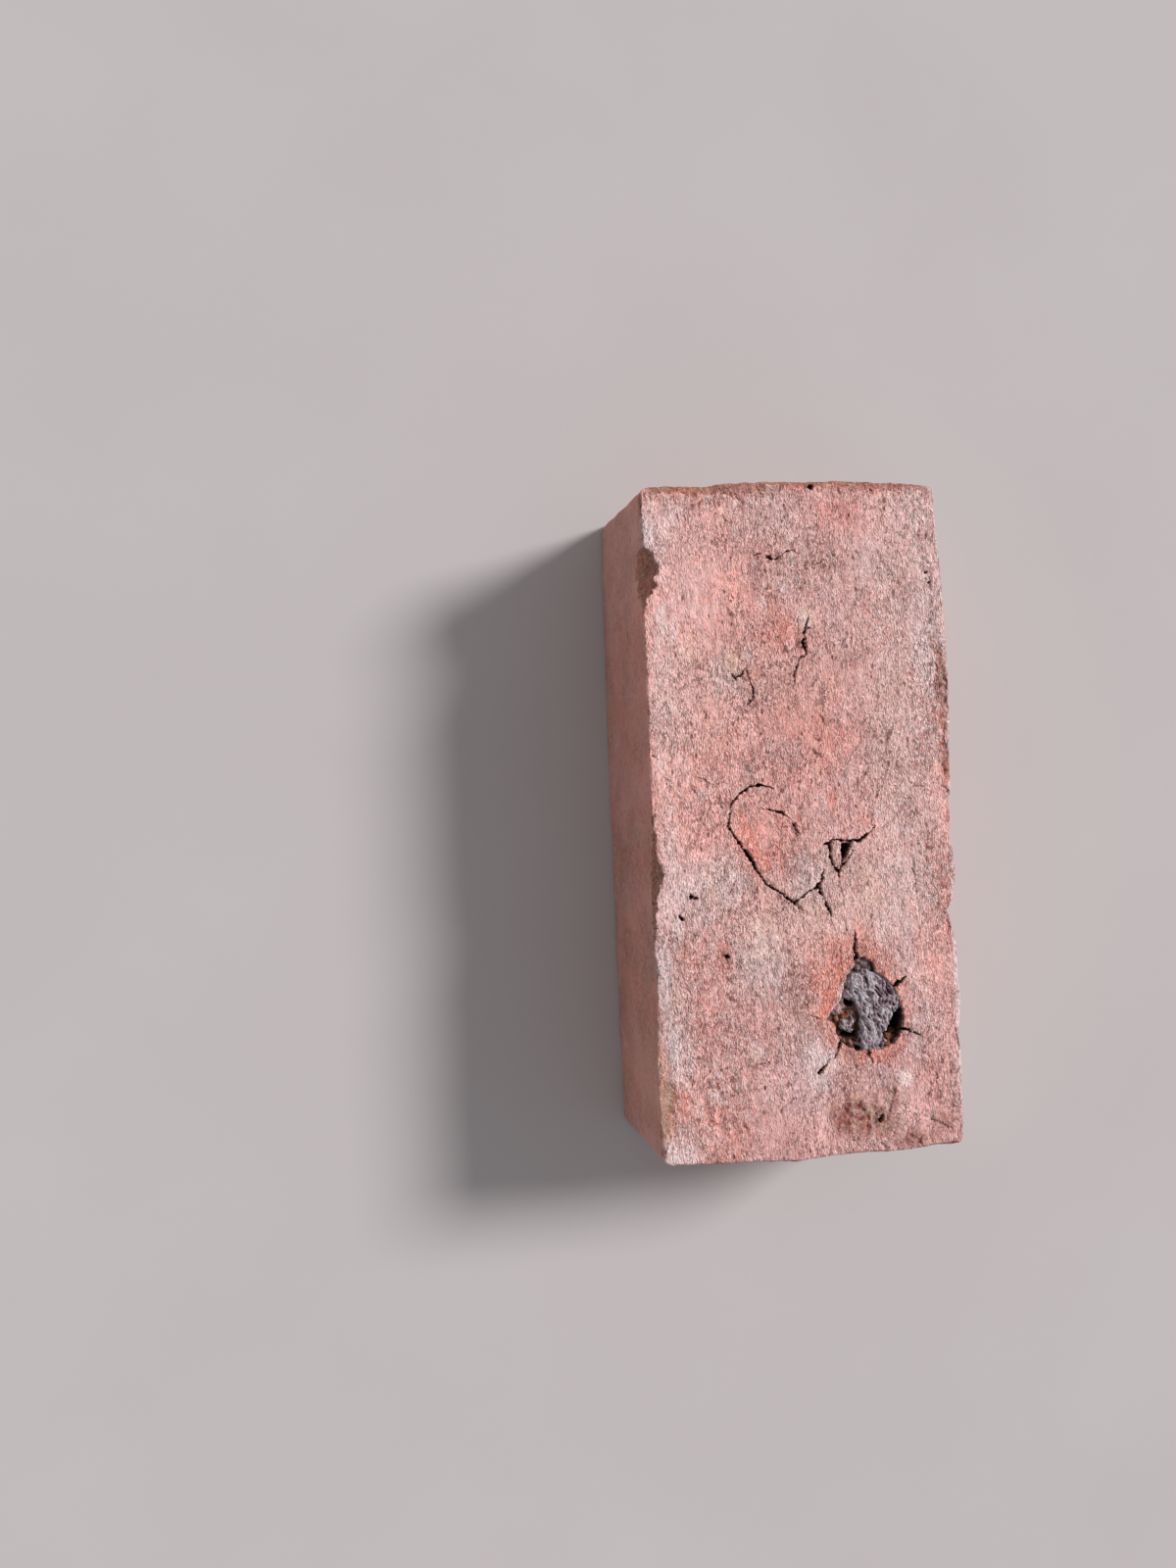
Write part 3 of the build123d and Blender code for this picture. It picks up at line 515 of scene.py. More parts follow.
def side_points(name, cells):
    """Points of one side of the top face, evenly spaced along it."""
    at, off = side_nodes(name)
    where = np.linspace(at[0], at[-1], cells + 1)
    smooth = np.interp(where, at, off)
    for _ in range(3):
        smooth[1:-1] = (smooth[:-2] + 2 * smooth[1:-1] + smooth[2:]) / 4
    return np.stack([where, smooth] if SIDES[name][3] == 0 else [smooth, where], axis=1)


def top_sides():
    """The four sides of the top face, in order round it from the head's left corner."""
    left, right = (side_points(name, CELLS[0]) for name in ("left", "right"))
    head, tail = (side_points(name, CELLS[1]) for name in ("head", "tail"))
    return left, tail, right[::-1], head[::-1]


def foot_sides():
    """The four sides of the foot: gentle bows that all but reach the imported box."""
    end, side = HALF_LENGTH - FOOT_INSET, HALF_WIDTH - FOOT_INSET
    t = np.linspace(-1, 1, CELLS[0] + 1)
    left = np.stack([t * (end - FOOT_END_BOW), -side + FOOT_SIDE_BOW * t**2], axis=1)
    t = np.linspace(-1, 1, CELLS[1] + 1)
    tail = np.stack([end - FOOT_END_BOW * t**2, t * (side - FOOT_SIDE_BOW)], axis=1)
    return left, tail, -left, -tail


def closed_outline(sides):
    """Four sides joined to one closed outline with rounded corners."""
    rounded = [side.copy() for side in sides]
    for k in range(4):
        pair = (k, (k + 1) % 4)
        corner = sides[k][-1]
        reaches = [np.hypot(*(sides[j] - corner).T) for j in pair]
        start, stop = (sides[j][np.argmin(np.abs(reach - CORNER_REACH))] for j, reach in zip(pair, reaches))
        for j, reach in zip(pair, reaches):
            near = reach < CORNER_REACH
            t = 0.5 * (1 - reach[near] / CORNER_REACH)
            t = (t if j == k else 1 - t)[:, None]
            rounded[j][near] = (1 - t)**2 * start + 2 * t * (1 - t) * corner + t**2 * stop
    return np.concatenate([side[:-1] for side in rounded])


def outward(outline):
    """Unit vectors that point out of a closed outline that runs anticlockwise."""
    step = np.roll(outline, -1, axis=0) - np.roll(outline, 1, axis=0)
    normal = np.stack([step[:, 1], -step[:, 0]], axis=1)
    return normal / np.linalg.norm(normal, axis=1, keepdims=True)


def four_sides(ring, cells):
    """The left, tail, right and head side of a closed ring, each from its low end."""
    loop = np.concatenate([ring, ring[:1]])
    first, second, third = np.cumsum([*cells, cells[0]])
    return (loop[:first + 1], loop[first:second + 1], loop[second:third + 1][::-1],
            loop[third:][::-1])


def patch(outline, cells):
    """Grid inside a closed outline, blended from its four sides. Returns rows along X."""
    left, tail, right, head = four_sides(outline, cells)
    u = np.linspace(0, 1, cells[0] + 1)[:, None, None]
    v = np.linspace(0, 1, cells[1] + 1)[None, :, None]
    grid = (1 - v) * left[:, None] + v * right[:, None] + (1 - u) * head[None] + u * tail[None]
    grid -= (1 - u) * (1 - v) * left[0] + u * (1 - v) * left[-1]
    grid -= (1 - u) * v * right[0] + u * v * right[-1]
    return grid


class Shell:
    """Vertices and faces of the closed body as they are added."""

    def __init__(self):
        self.points = []
        self.faces = []
        self.count = 0

    def add(self, flat, level):
        """Adds points at one level, or at a level each, and returns their numbers."""
        self.points.append(np.column_stack([flat, np.broadcast_to(level, len(flat))]))
        self.count += len(flat)
        return np.arange(self.count - len(flat), self.count)

    def band(self, upper, lower):
        """Faces between two closed rings. The lower may have half as many points. Returns it."""
        after = np.roll(lower, -1)
        if len(lower) == len(upper):
            kinds = [(upper, lower, after, np.roll(upper, -1))]
        else:
            first, middle, last = upper[::2], upper[1::2], np.roll(upper[::2], -1)
            kinds = [(first, lower, middle), (middle, lower, after), (middle, after, last)]
        for corners in kinds:
            self.faces += np.stack(corners, axis=1).tolist()
        return lower

    def lid(self, ring, outline, level, cells, upward):
        """Quads inside a ring of vertices that stand on an outline."""
        grid = patch(outline, cells)[1:-1, 1:-1]
        at = np.empty((cells[0] + 1, cells[1] + 1), int)
        at[1:-1, 1:-1] = self.add(grid.reshape(-1, 2), level).reshape(grid.shape[:2])
        at[:, 0], at[-1, :], at[:, -1], at[0, :] = four_sides(ring, cells)
        quads = np.stack([at[:-1, :-1], at[1:, :-1], at[1:, 1:], at[:-1, 1:]], axis=-1).reshape(-1, 4)
        self.faces += (quads if upward else quads[:, ::-1]).tolist()


def body_shell():
    """The smooth closed body: struck face, rounded arris, leaning walls and foot."""
    shell = Shell()
    outline = closed_outline(top_sides())
    normal = outward(outline)
    place = lifted(outline)
    ragged = 0.4 * noise(place, 5.0, 6) + 0.35 * noise(place, 2.4, 7)
    outline = outline + normal * ragged[:, None]
    radius = ARRIS_RADIUS * (1 + 0.35 * noise(place, 14.0, 5))
    rings = []
    for angle in np.radians([0, 25, 50, 72, 90]):
        inset = radius * (1 - math.sin(angle))
        level = FACE_LEVEL - radius * (1 - math.cos(angle))
        rings.append(shell.add(outline - normal * inset[:, None], level))
    shell.lid(rings[0], outline - normal * radius[:, None], FACE_LEVEL, CELLS, True)
    for upper, lower in zip(rings, rings[1:]):
        ring = shell.band(upper, lower)

    foot = closed_outline(foot_sides())

    def wall_ring(level, every):
        share = (FACE_LEVEL - level) / FACE_LEVEL
        flat = outline + (foot - outline) * np.clip(share * 1.15, 0, 1)[:, None]
        return shell.add(flat[::every], level[::every])

    low = FACE_LEVEL - radius
    for k in range(1, FINE_WALL_RINGS + 1):
        ring = shell.band(ring, wall_ring(low - k * FINE_WALL_STEP, 1))
    start = low - FINE_WALL_RINGS * FINE_WALL_STEP
    steps = int(round((start.mean() - FOOT_RADIUS) / WALL_STEP))
    for k in range(1, steps + 1):
        ring = shell.band(ring, wall_ring(start + (FOOT_RADIUS - start) * k / steps, 2))
    foot_normal = outward(foot)
    for angle in np.radians([45, 90]):
        flat = foot - foot_normal * (FOOT_RADIUS * (1 - math.cos(angle)))
        ring = shell.band(ring, shell.add(flat[::2], FOOT_RADIUS * (1 - math.sin(angle))))
    bed = (foot - foot_normal * BED_INSET)[::4]
    ring = shell.band(ring, shell.add(bed, 0))
    shell.lid(ring, bed, 0, [count // 4 for count in CELLS], False)
    return np.concatenate(shell.points), shell.faces


def segments_of(points, closed=False):
    """Pairs of neighbouring points of a line, and the last with the first when it is closed."""
    points = list(points)
    return list(zip(points, points[1:] + points[:1] if closed else points[1:]))


def segment_distance(flat, start, end):
    """Distance of each point to a segment and the share of its length where it is nearest."""
    start, end = np.array(start, float), np.array(end, float)
    line = end - start
    share = np.clip(((flat - start) @ line) / (line @ line), 0, 1)
    return np.linalg.norm(flat - (start + share[:, None] * line), axis=1), share


def inside_distance(flat, rim):
    """Signed distance to a closed rim, positive inside it."""
    distance = np.full(len(flat), FAR)
    inside = np.zeros(len(flat), bool)
    for a, b in segments_of(rim, True):
        distance = np.minimum(distance, segment_distance(flat, a, b)[0])
        crosses = (a[1] > flat[:, 1]) != (b[1] > flat[:, 1])
        rise = b[1] - a[1] if b[1] != a[1] else 1.0
        inside ^= crosses & (flat[:, 0] < a[0] + (flat[:, 1] - a[1]) / rise * (b[0] - a[0]))
    return np.where(inside, distance, -distance)


def crack_field(flat):
    """Depth of cracks and holes under each point, and the distance to the nearest lip."""
    ragged = jittered(flat, 61)
    gape = np.clip(0.9 + 0.9 * noise(lifted(flat), 1.7, 68), 0.3, 1.7)
    depth = np.zeros(len(flat))
    margin = np.full(len(flat), FAR)
    for deepest, points in CRACKS:
        for a, b in segments_of(points):
            distance, share = segment_distance(ragged, a[:2], b[:2])
            half = (a[2] + share * (b[2] - a[2])) * gape
            margin = np.minimum(margin, distance - half)
            fall = np.clip((1.25 - distance / half) / 0.9, 0, 1)
            depth = np.maximum(depth, deepest * fall * np.clip(half / 0.3, 0.4, 1))
    for x, y, radius, deepest in HOLES:
        distance = np.hypot(ragged[:, 0] - x, ragged[:, 1] - y)
        margin = np.minimum(margin, distance - radius)
        depth = np.maximum(depth, deepest * smoothstep(1.2, 0.6, distance / radius))
    inside = inside_distance(ragged, FLAP_HOLE)
    margin = np.minimum(margin, -inside)
    return np.maximum(depth, FLAP_HOLE_DEPTH * smoothstep(-0.1, 0.7, inside)), margin


def mark_field(flat):
    """Strength of the short tears at each point, from 0 to 1."""
    ragged = flat + 1.3 * (jittered(flat, 65) - flat)
    gape = np.clip(1 + 0.9 * noise(lifted(flat), 1.3, 69), 0.3, 1.8)
    strength = np.zeros(len(flat))
    for x, y, far_x, far_y, half in MARKS:
        distance, share = segment_distance(ragged, (x, y), (far_x, far_y))
        width = half * gape * (1.2 - 1.4 * np.abs(share - 0.4))
        strength = np.maximum(strength, smoothstep(1.7, 0.4, distance / width))
    return strength


def pit_field(flat):
    """Depth of the clinker pit under each point, and its masks."""
    place = lifted(flat)
    ragged = jittered(flat, 31)
    inside = inside_distance(flat + 0.7 * (ragged - flat), PIT_RIM)
    floor = PIT_DEPTH + 0.8 * noise(place, 3.0, 33)
    for x, y, reach_x, reach_y, deepest in PIT_POCKETS:
        far = np.hypot((ragged[:, 0] - x) / reach_x, (ragged[:, 1] - y) / reach_y)
        floor = np.maximum(floor, deepest * smoothstep(1.25, 0.7, far))
    depth = smoothstep(-0.15, PIT_WALL, inside) * floor

    # Threads of slag on a bent lattice, and the crown that they stand on
    bent = place.copy()
    bent[:, 0] += 1.6 * noise(place, 5.0, 34)
    bent[:, 1] += 1.5 * noise(place, (6.5, 4.0, 1.0), 35) - 0.3 * (place[:, 0] - 70)
    thread = 0.4 * ridges(bent, (4.8, 1.8, 1.0), 36) + 0.36 * ridges(bent, (2.8, 1.1, 1.0), 37)
    thread += 0.24 * ridges(bent, (1.5, 0.75, 1.0), 38)
    within = inside_distance(flat + 1.7 * (ragged - flat), SLAG_RIM)
    holes = smoothstep(0.3, 0.65, noise(bent, (3.2, 1.9, 1.0), 39))
    crown = 0.3 + 0.8 * smoothstep(2.2, 0.0, within) + 1.9 * (0.65 - thread) + 3.0 * holes
    crown += 0.5 * noise(place, 5.0, 40)
    slag = smoothstep(-0.1, 0.35, within)
    depth = np.where(inside > 0, depth + (np.minimum(crown, depth) - depth) * slag, depth)

    crumb = np.zeros(len(flat))
    for x, y, radius, top, share in LUMPS:
        reach = np.hypot(ragged[:, 0] - x, ragged[:, 1] - y) / radius
        lump = top + radius * 0.8 * (1 - np.sqrt(np.maximum(1 - reach**2, 0))) + 1.1 * (0.6 - thread)
        higher = (reach < 1) & (lump < depth) & (inside > -0.3)
        depth = np.where(higher, np.maximum(lump, 0.2), depth)
        slag = np.where(higher, share, slag)
        crumb = np.where(higher, 1 - share, crumb)

    within_pit = smoothstep(-0.1, 0.35, inside)
    bare = smoothstep(0.5, 1.3, depth)
    # Painted highlight: a pale line on the rim at the pit's left and head side, where its wall faces the
    # light
    rim = np.exp(-((inside - 0.1) / 0.5)**2) * smoothstep(22, 16, flat[:, 1])
    rim *= smoothstep(76, 68, flat[:, 0]) * np.clip(0.7 + 0.6 * noise(place, 3.0, 41), 0.1, 1)
    spread = 3.4 + 1.8 * noise(place, 6.0, 42) + 1.6 * smoothstep(24, 12, flat[:, 1])
    halo = np.exp(-(np.maximum(-inside, 0) / spread)**2) * (1 - within_pit)
    halo *= np.clip(0.7 + 0.7 * noise(place, (9.0, 7.0, 1.0), 43), 0.1, 1)
    # Painted highlight: pink on the shallow bare wall at the pit's left and head side, which faces the light
    lit = (1 - slag) * (1 - crumb) * smoothstep(2.8, 1.7, depth)
    lit *= smoothstep(19, 15, flat[:, 1]) * smoothstep(76, 70, flat[:, 0])
    masks = {"pit": np.maximum(bare, np.maximum(slag, crumb)), "slag": slag, "crumb": crumb,
             "thread": thread, "lit": lit}
    masks = {key: values * within_pit for key, values in masks.items()}
    masks.update(rim=rim, halo=halo)
    return depth * (inside > -0.4) - 0.35 * np.exp(-((inside + 0.4) / 0.6)**2), masks


def refine(bm):
    """Splits the faces of the struck face near cracks and in the pit, twice where it is fine."""
    for lip_reach, rim_reach in ((0.9, 0.9), (0.4, 0.5)):
        edges = [e for e in bm.edges if min(v.co.z for v in e.verts) > FACE_LEVEL - 0.01]
        flat = np.array([((e.verts[0].co + e.verts[1].co) / 2)[:2] for e in edges])
        wanted = np.abs(crack_field(flat)[1]) < lip_reach
        wanted |= mark_field(flat) > 0.05
        wanted |= inside_distance(flat, PIT_RIM) > -rim_reach
        chosen = [edge for edge, near in zip(edges, wanted) if near]
        bmesh.ops.subdivide_edges(bm, edges=chosen, cuts=1, use_grid_fill=True)
    bmesh.ops.triangulate(bm, faces=[f for f in bm.faces if len(f.verts) > 4])


def wear_cut(points, name, wear, seed, stepped=False):
    """Cuts one worn top edge back to a ragged slope. Returns points and how far each moved.

    A stepped cut is a flatter slope that ends in a low wall where its reach ends.
    """
    along, way_out = SIDES[name][3:5]
    station, aside = points[:, along], points[:, 1 - along]
    table = np.array(wear, float)
    line = np.column_stack([station, 0 * station, 0 * station])
    ragged = 1 + 0.45 * noise(line, 3.2, seed)
    ragged += 0.3 * noise(line, 1.4, seed + 1)
    reach = np.interp(station, table[:, 0], table[:, 1]) * np.clip(ragged, 0.3, 2)
    drop = np.interp(station, table[:, 0], table[:, 2]) * np.clip(ragged, 0.5, 1.5)
    inset = 2 * reach if stepped else reach
    inward = (np.interp(station, *side_nodes(name)) - aside) * way_out
    down = FACE_LEVEL - points[:, 2]
    length = np.hypot(inset, drop)
    step_in, step_down = drop / length, inset / length
    lack = 1 - inward / inset - down / drop
    travel = lack / (step_in / inset + step_down / drop)
    place = np.column_stack([station, aside, points[:, 2]])
    rough = 0.55 * noise(place, 3.4, seed + 2) + 0.35 * noise(place, 1.6, seed + 3)
    rough = 0.3 * rough if stepped else rough + 0.3 * np.clip(length - 3, 0, 3)
    travel = travel + np.clip(length / 4, 0.15, 1) * rough
    travel = np.where((travel > 0) & (inward > -4), travel, 0)
    if stepped:
        travel = travel * smoothstep(0.5, -0.4, inward - reach)
    moved = points.copy()
    moved[:, 1 - along] -= way_out * step_in * travel
    moved[:, 2] -= step_down * travel
    return moved, travel


def worn(points):
    """Points after the wear of all four top edges, and how far each moved."""
    points, total = wear_cut(points, "left", LEFT_RECESS, 96, True)
    for name, (*_, wear, seed) in SIDES.items():
        points, travel = wear_cut(points, name, wear, seed)
        total = np.maximum(total, travel)
    return points, total


def patches(flat, name):
    """Strength of one mask's patches at each point, with ragged borders."""
    seed, table = PATCHES[name]
    place = lifted(flat)
    frayed = 0.45 * noise(place, (9.0, 5.0, 1.0), seed) + 0.4 * noise(place, (3.6, 2.0, 1.0), seed + 1)
    strength = np.zeros(len(flat))
    for x, y, reach_x, reach_y, most in table:
        far = np.hypot((flat[:, 0] - x) / reach_x, (flat[:, 1] - y) / reach_y)
        strength = np.maximum(strength, most * smoothstep(1.45, 0.2, far + frayed))
    return strength


def ledge_rise(flat):
    """Rise of the skin beside the ledges: a step at the line that fades out behind it."""
    ragged = jittered(flat, 91)
    rise = np.zeros(len(flat))
    for height, points in LEDGES:
        nearest = np.full(len(flat), FAR)
        side = np.zeros(len(flat))
        end = np.ones(len(flat))
        for k, (a, b) in enumerate(segments_of(points)):
            distance, share = segment_distance(ragged, a, b)
            cross = (b[0] - a[0]) * (ragged[:, 1] - a[1]) - (b[1] - a[1]) * (ragged[:, 0] - a[0])
            closer = distance < nearest
            nearest = np.where(closer, distance, nearest)
            side = np.where(closer, np.sign(cross), side)
            along = (k + share) / (len(points) - 1)
            end = np.where(closer, smoothstep(0, 0.25, along) * smoothstep(1, 0.75, along), end)
        step = smoothstep(-0.3, 0.3, side * nearest) * np.exp(-(nearest / 6.0)**2)
        rise += height * step * end
    return rise


def button_rise(flat):
    """Rise of the round dents and pimples, each with a shallow ring about it."""
    ragged = jittered(flat, 95)
    rise = np.zeros(len(flat))
    for x, y, radius, height in BUTTONS:
        reach = np.hypot(ragged[:, 0] - x, ragged[:, 1] - y) / radius
        rise += height * np.exp(-reach**2 * 2) - 0.25 * np.exp(-((reach - 1.1) / 0.25)**2)
    return rise


def relief(points, normals, torn, coarse):
    """Height of the clay's relief over the smooth body, along its normals."""
    up = smoothstep(0.5, 0.9, normals[:, 2])
    wall = 1 - smoothstep(0.2, 0.7, np.abs(normals[:, 2]))
    dragged = points.copy()
    dragged[:, 1] += 1.8 * noise(points, (26.0, 12.0, 12.0), 11)
    streak = noise(dragged, (11.0, 2.6, 5.0), 12) + 0.8 * noise(dragged, (5.0, 2.0, 5.0), 13)
    grain = noise(points, 2.4, 14) + 0.7 * noise(points, 1.8, 15)
    swell = noise(points, 38.0, 16) + 0.7 * noise(points, 15.0, 17)
    swell = swell + 0.7 * noise(points, (9.0, 6.0, 6.0), 19)
    tears = np.maximum(noise(dragged, (6.0, 3.0, 4.0), 18) - 0.3, 0)
    scuff = smoothstep(8, 2, HALF_WIDTH - points[:, 1])
    top = (0.26 + 0.16 * scuff) * streak + 0.17 * grain + 0.24 * swell - 1.1 * tears
    lumps = np.maximum(noise(points, 3.1, 27) - 0.15, 0) + 0.8 * np.maximum(noise(points, 2.2, 28) - 0.2, 0)
    top += coarse * (0.85 * lumps + 0.12 * streak)
    top += torn * (0.7 * noise(points, 3.0, 25) + 0.55 * noise(points, 1.7, 26) - 0.5)
    sand = noise(points, 3.4, 21) + 0.6 * noise(points, 6.5, 22)
    pits = np.maximum(noise(points, 4.6, 24) - 0.4, 0)
    side = 0.08 * sand + 0.16 * noise(points, (30.0, 6.0, 4.2), 23) + 0.3 * swell - 0.5 * pits
    under = 0.14 * sand + 0.2 * swell - 0.4 * pits
    return up * top + wall * side + (1 - up - wall) * under * 0.6


def displaced(raw, normals):
    """The body's final points, and masks for its material."""
    flat, tilt = raw[:, :2], normals[:, 2]
    facing = smoothstep(0.35, 0.8, tilt)
    spread = {key: patches(flat, key) for key in PATCHES}
    groove, margin = crack_field(flat)
    pit, masks = pit_field(flat)
    skin = 1 - masks["pit"]
    mark = mark_field(flat)
    lift = ledge_rise(flat) + button_rise(flat) + 0.18 * np.exp(-np.maximum(margin, 0)**2 / 0.6)
    x, y, reach_x, reach_y, rise = FLAP
    lift += rise * smoothstep(1.2, 0.5, np.hypot((flat[:, 0] - x) / reach_x, (flat[:, 1] - y) / reach_y))
    points = raw + normals * relief(raw, normals, spread["torn"] * facing, spread["coarse"])[:, None]
    points[:, 2] += facing * (lift * skin - np.maximum(np.maximum(groove, 0.45 * mark) * skin, pit))
    points, travel = worn(points)
    points = np.clip(points, CAD_LOW + (SKIN, SKIN, 0), CAD_HIGH - SKIN)
    caps = np.maximum(noise(raw, 3.1, 27), noise(raw, 2.2, 28) - 0.05)
    # Painted shade: the cracks and the pit are coloured darker the deeper they go
    masks.update(crack=skin * smoothstep(0.5, 1.7, groove), gloom=smoothstep(2.2, 5.2, pit),
                 mark=skin * mark, scab=skin * spread["coarse"] * smoothstep(0.2, 0.5, caps),
                 torn=spread.pop("torn"))
    masks = {key: values * facing for key, values in masks.items()}
    masks.update({key: values * smoothstep(-0.1, 0.3, tilt) for key, values in spread.items()})
    masks.update(wall=1 - smoothstep(0.1, 0.6, np.abs(tilt)), broken=smoothstep(0.15, 0.7, travel),
                 deep=smoothstep(2.8, 4.6, travel))
    return points, masks


def write_mesh(name, points, faces, masks):
    """A mesh object in metres with one float attribute for each mask."""
    mesh = bpy.data.meshes.new(name)
    mesh.from_pydata((points * MM).tolist(), [], faces)
    mesh.validate()
    for key, values in masks.items():
        layer = mesh.attributes.new(key, "FLOAT", "POINT")
        layer.data.foreach_set("value", np.asarray(values, np.float32))
    mesh.shade_smooth()
    item = bpy.data.objects.new(name, mesh)
    bpy.context.scene.collection.objects.link(item)
    return item


def make_body():
    """The dressed brick body."""
    points, faces = body_shell()
    raw = bpy.data.meshes.new("raw")
    raw.from_pydata(points.tolist(), [], faces)
    bm = bmesh.new()
    bm.from_mesh(raw)
    bpy.data.meshes.remove(raw)
    refine(bm)
    bm.normal_update()
    bm.verts.index_update()
    points = np.array([v.co[:] for v in bm.verts])
    normals = np.array([v.normal[:] for v in bm.verts])
    faces = [[v.index for v in f.verts] for f in bm.faces]
    bm.free()
    points, masks = displaced(points, normals)
    return write_mesh("brick_body", points, faces, masks)


class Wire:
    """An output of a shader node, on which sums are written with the usual signs."""

    def __init__(self, nodes, socket):
        self.nodes = nodes
        self.socket = socket

    def __add__(self, other):
        return self.nodes.sum("ADD", self, other)

    def __sub__(self, other):
        return self.nodes.sum("SUBTRACT", self, other)

    def __mul__(self, other):
        return self.nodes.sum("MULTIPLY", self, other)

    def __truediv__(self, other):
        return self.nodes.sum("DIVIDE", self, other)

    def __abs__(self):
        return self.nodes.sum("ABSOLUTE", self)

    def max(self, other):
        """The higher of two values."""
        return self.nodes.sum("MAXIMUM", self, other)

    def span(self, low, high, out_low=0.0, out_high=1.0):
        """Maps low..high to out_low..out_high, smooth and held at its ends."""
        inputs = {"Value": self, "From Min": low, "From Max": high, "To Min": out_low, "To Max": out_high}
        return self.nodes.make("MapRange", inputs, "Result", interpolation_type="SMOOTHSTEP")


class Nodes:
    """Short calls for building one material."""

    def __init__(self, name):
        self.material = bpy.data.materials.new(name)
        self.material.use_nodes = True
        self.tree = self.material.node_tree
        self.tree.nodes.clear()
        self.place = self.make("TexCoord", {}, "Object")

    def make(self, kind, inputs, output, **settings):
        """A new node, its inputs set or wired by name or number. Returns one or more outputs."""
        node = self.tree.nodes.new("ShaderNode" + kind)
        for key, value in settings.items():
            setattr(node, key, value)
        for key, value in inputs.items():
            if isinstance(value, Wire):
                self.tree.links.new(value.socket, node.inputs[key])
            else:
                node.inputs[key].default_value = value
        if isinstance(output, tuple):
            return [Wire(self, node.outputs[key]) for key in output]
        return Wire(self, node.outputs[output])

    def sum(self, kind, *values):
        """One sum on numbers."""
        return self.make("Math", dict(enumerate(values)), 0, operation=kind)

    def vector(self, kind, *values, output="Vector"):
        """One sum on vectors."""
        return self.make("VectorMath", dict(enumerate(values)), output, operation=kind)

    def mask(self, name):
        """A mask that the mesh carries."""
        return self.make("Attribute", {}, "Fac", attribute_name=name)

    def bend(self, waves):
        """Bends the place by noises, each given as cells a metre and reach in metres."""
        for scale, reach in waves:
            wave = self.make("TexNoise", {"Vector": self.place, "Scale": scale, "Detail": 1.0}, "Color")
            centred = self.vector("SUBTRACT", wave, MIDDLE)
            self.place = self.vector("MULTIPLY_ADD", centred, (reach, reach, reach), self.place)

    def scaled(self, size):
        """The place counted in cells. size is cells a metre along each axis, here and below."""
        return self.make("Mapping", {"Vector": self.place, "Scale": size}, "Vector")

    def noise(self, scale, detail=2.0, stretch=(1, 1, 1), rough=0.5, distortion=0.0):
        """Noise with cells of about 1 / scale metres, from 0 to 1."""
        place = self.scaled([scale * s for s in stretch])
        return self.make("TexNoise", {"Vector": place, "Scale": 1.0, "Detail": detail, "Roughness": rough,
                                      "Distortion": distortion}, "Fac")

    def cells(self, size):
        """A pattern of cells: their places, colours and the distance to each middle."""
        place = self.scaled(size)
        return place, *self.make("TexVoronoi", {"Vector": place, "Scale": 1.0},
                                 ("Position", "Color", "Distance"))

    def chances(self, colour):
        """Three random numbers from 0 to 1 for each cell, from its colour."""
        return self.make("SeparateColor", {"Color": colour}, ("Red", "Green", "Blue"))

    def scales(self, size):
        """Flat scales with their own tilts, from about -0.3 to 0.3."""
        place, middle, colour, _ = self.cells(size)
        local = self.vector("SUBTRACT", place, middle)
        return self.vector("DOT_PRODUCT", local, self.vector("SUBTRACT", colour, MIDDLE), output="Value")

    def spots(self, size, share, radius):
        """Scattered round spots, 1 in their middles. radius is a share of a cell."""
        _, _, colour, distance = self.cells(size)
        used, larger, _ = self.chances(colour)
        reach = distance / larger.span(0, 1, 0.55, 1.2)
        return reach.span(radius, 0.35 * radius) * self.sum("LESS_THAN", used, share)

    def grit(self, size):
        """A random number from 0 to 1 for each small grain."""
        return self.chances(self.cells(size)[2])[2]

    def layers(self, colour, *coats):
        """A colour covered in turn by others, each given with the share that it covers."""
        for coat, share in coats:
            colour = self.make("Mix", {0: share, 6: colour, 7: coat}, 2, data_type="RGBA")
        return colour

    def bump(self, height, distance, **below):
        """Bump from a height of 0 to 1 that stands for a distance in metres."""
        return self.make("Bump", {"Strength": 1.0, "Distance": distance, "Height": height, **below}, "Normal")

    def surface(self, colour, roughness, **more):
        """Ends the material in one plain shader."""
        shader = self.make("BsdfPrincipled", {"Specular IOR Level": 0.25, "Base Color": colour,
                                              "Roughness": roughness, **more}, "BSDF")
        output = self.tree.nodes.new("ShaderNodeOutputMaterial")
        self.tree.links.new(shader.socket, output.inputs["Surface"])
        return self.material


def mottled_clay(n):
    """Colour of the skin: mottled clay, its patches and dust with a painted highlight along the right arris,
    and the halo round the pit.
    """
    fray = n.noise(260, 4.0, (0.7, 1.3, 1.3), 0.65).span(0.34, 0.62, 0.55, 1.0)
    return n.layers(
        CLAY_ROSE,
        (CLAY_SALMON, n.noise(26, 3.0).span(0.4, 0.62)),
        (CLAY_MAUVE, n.noise(60, 4.0, (1, 1.6, 1), 0.6).span(0.5, 0.7, 0, 0.6)),
        (CLAY_LIGHT, n.noise(110, 4.0, (1, 1.8, 1), 0.65).span(0.54, 0.74, 0, 0.6)),
        (CLAY_ROSY, n.mask("rosy") * 0.8),
        (CLAY_ASH, n.mask("ash") * 0.8),
        (CLAY_DUSK, n.mask("dusk") * 0.8),
        (CLAY_DEEP, n.mask("dark") * 0.8),
        (CLAY_ORANGE, n.mask("orange") * fray * 0.9),
        (DUST_BEIGE, n.mask("beige") * fray * 0.75),
        (DUST_GREY, n.mask("grey") * fray * 0.75),
        # pale dust, and a painted highlight where its patches run along the right arris
        (PALE_DUST_AND_HIGHLIGHT, n.mask("pale") * fray * 0.8),
        (HALO_ORANGE, n.mask("halo") * 0.85),
    )


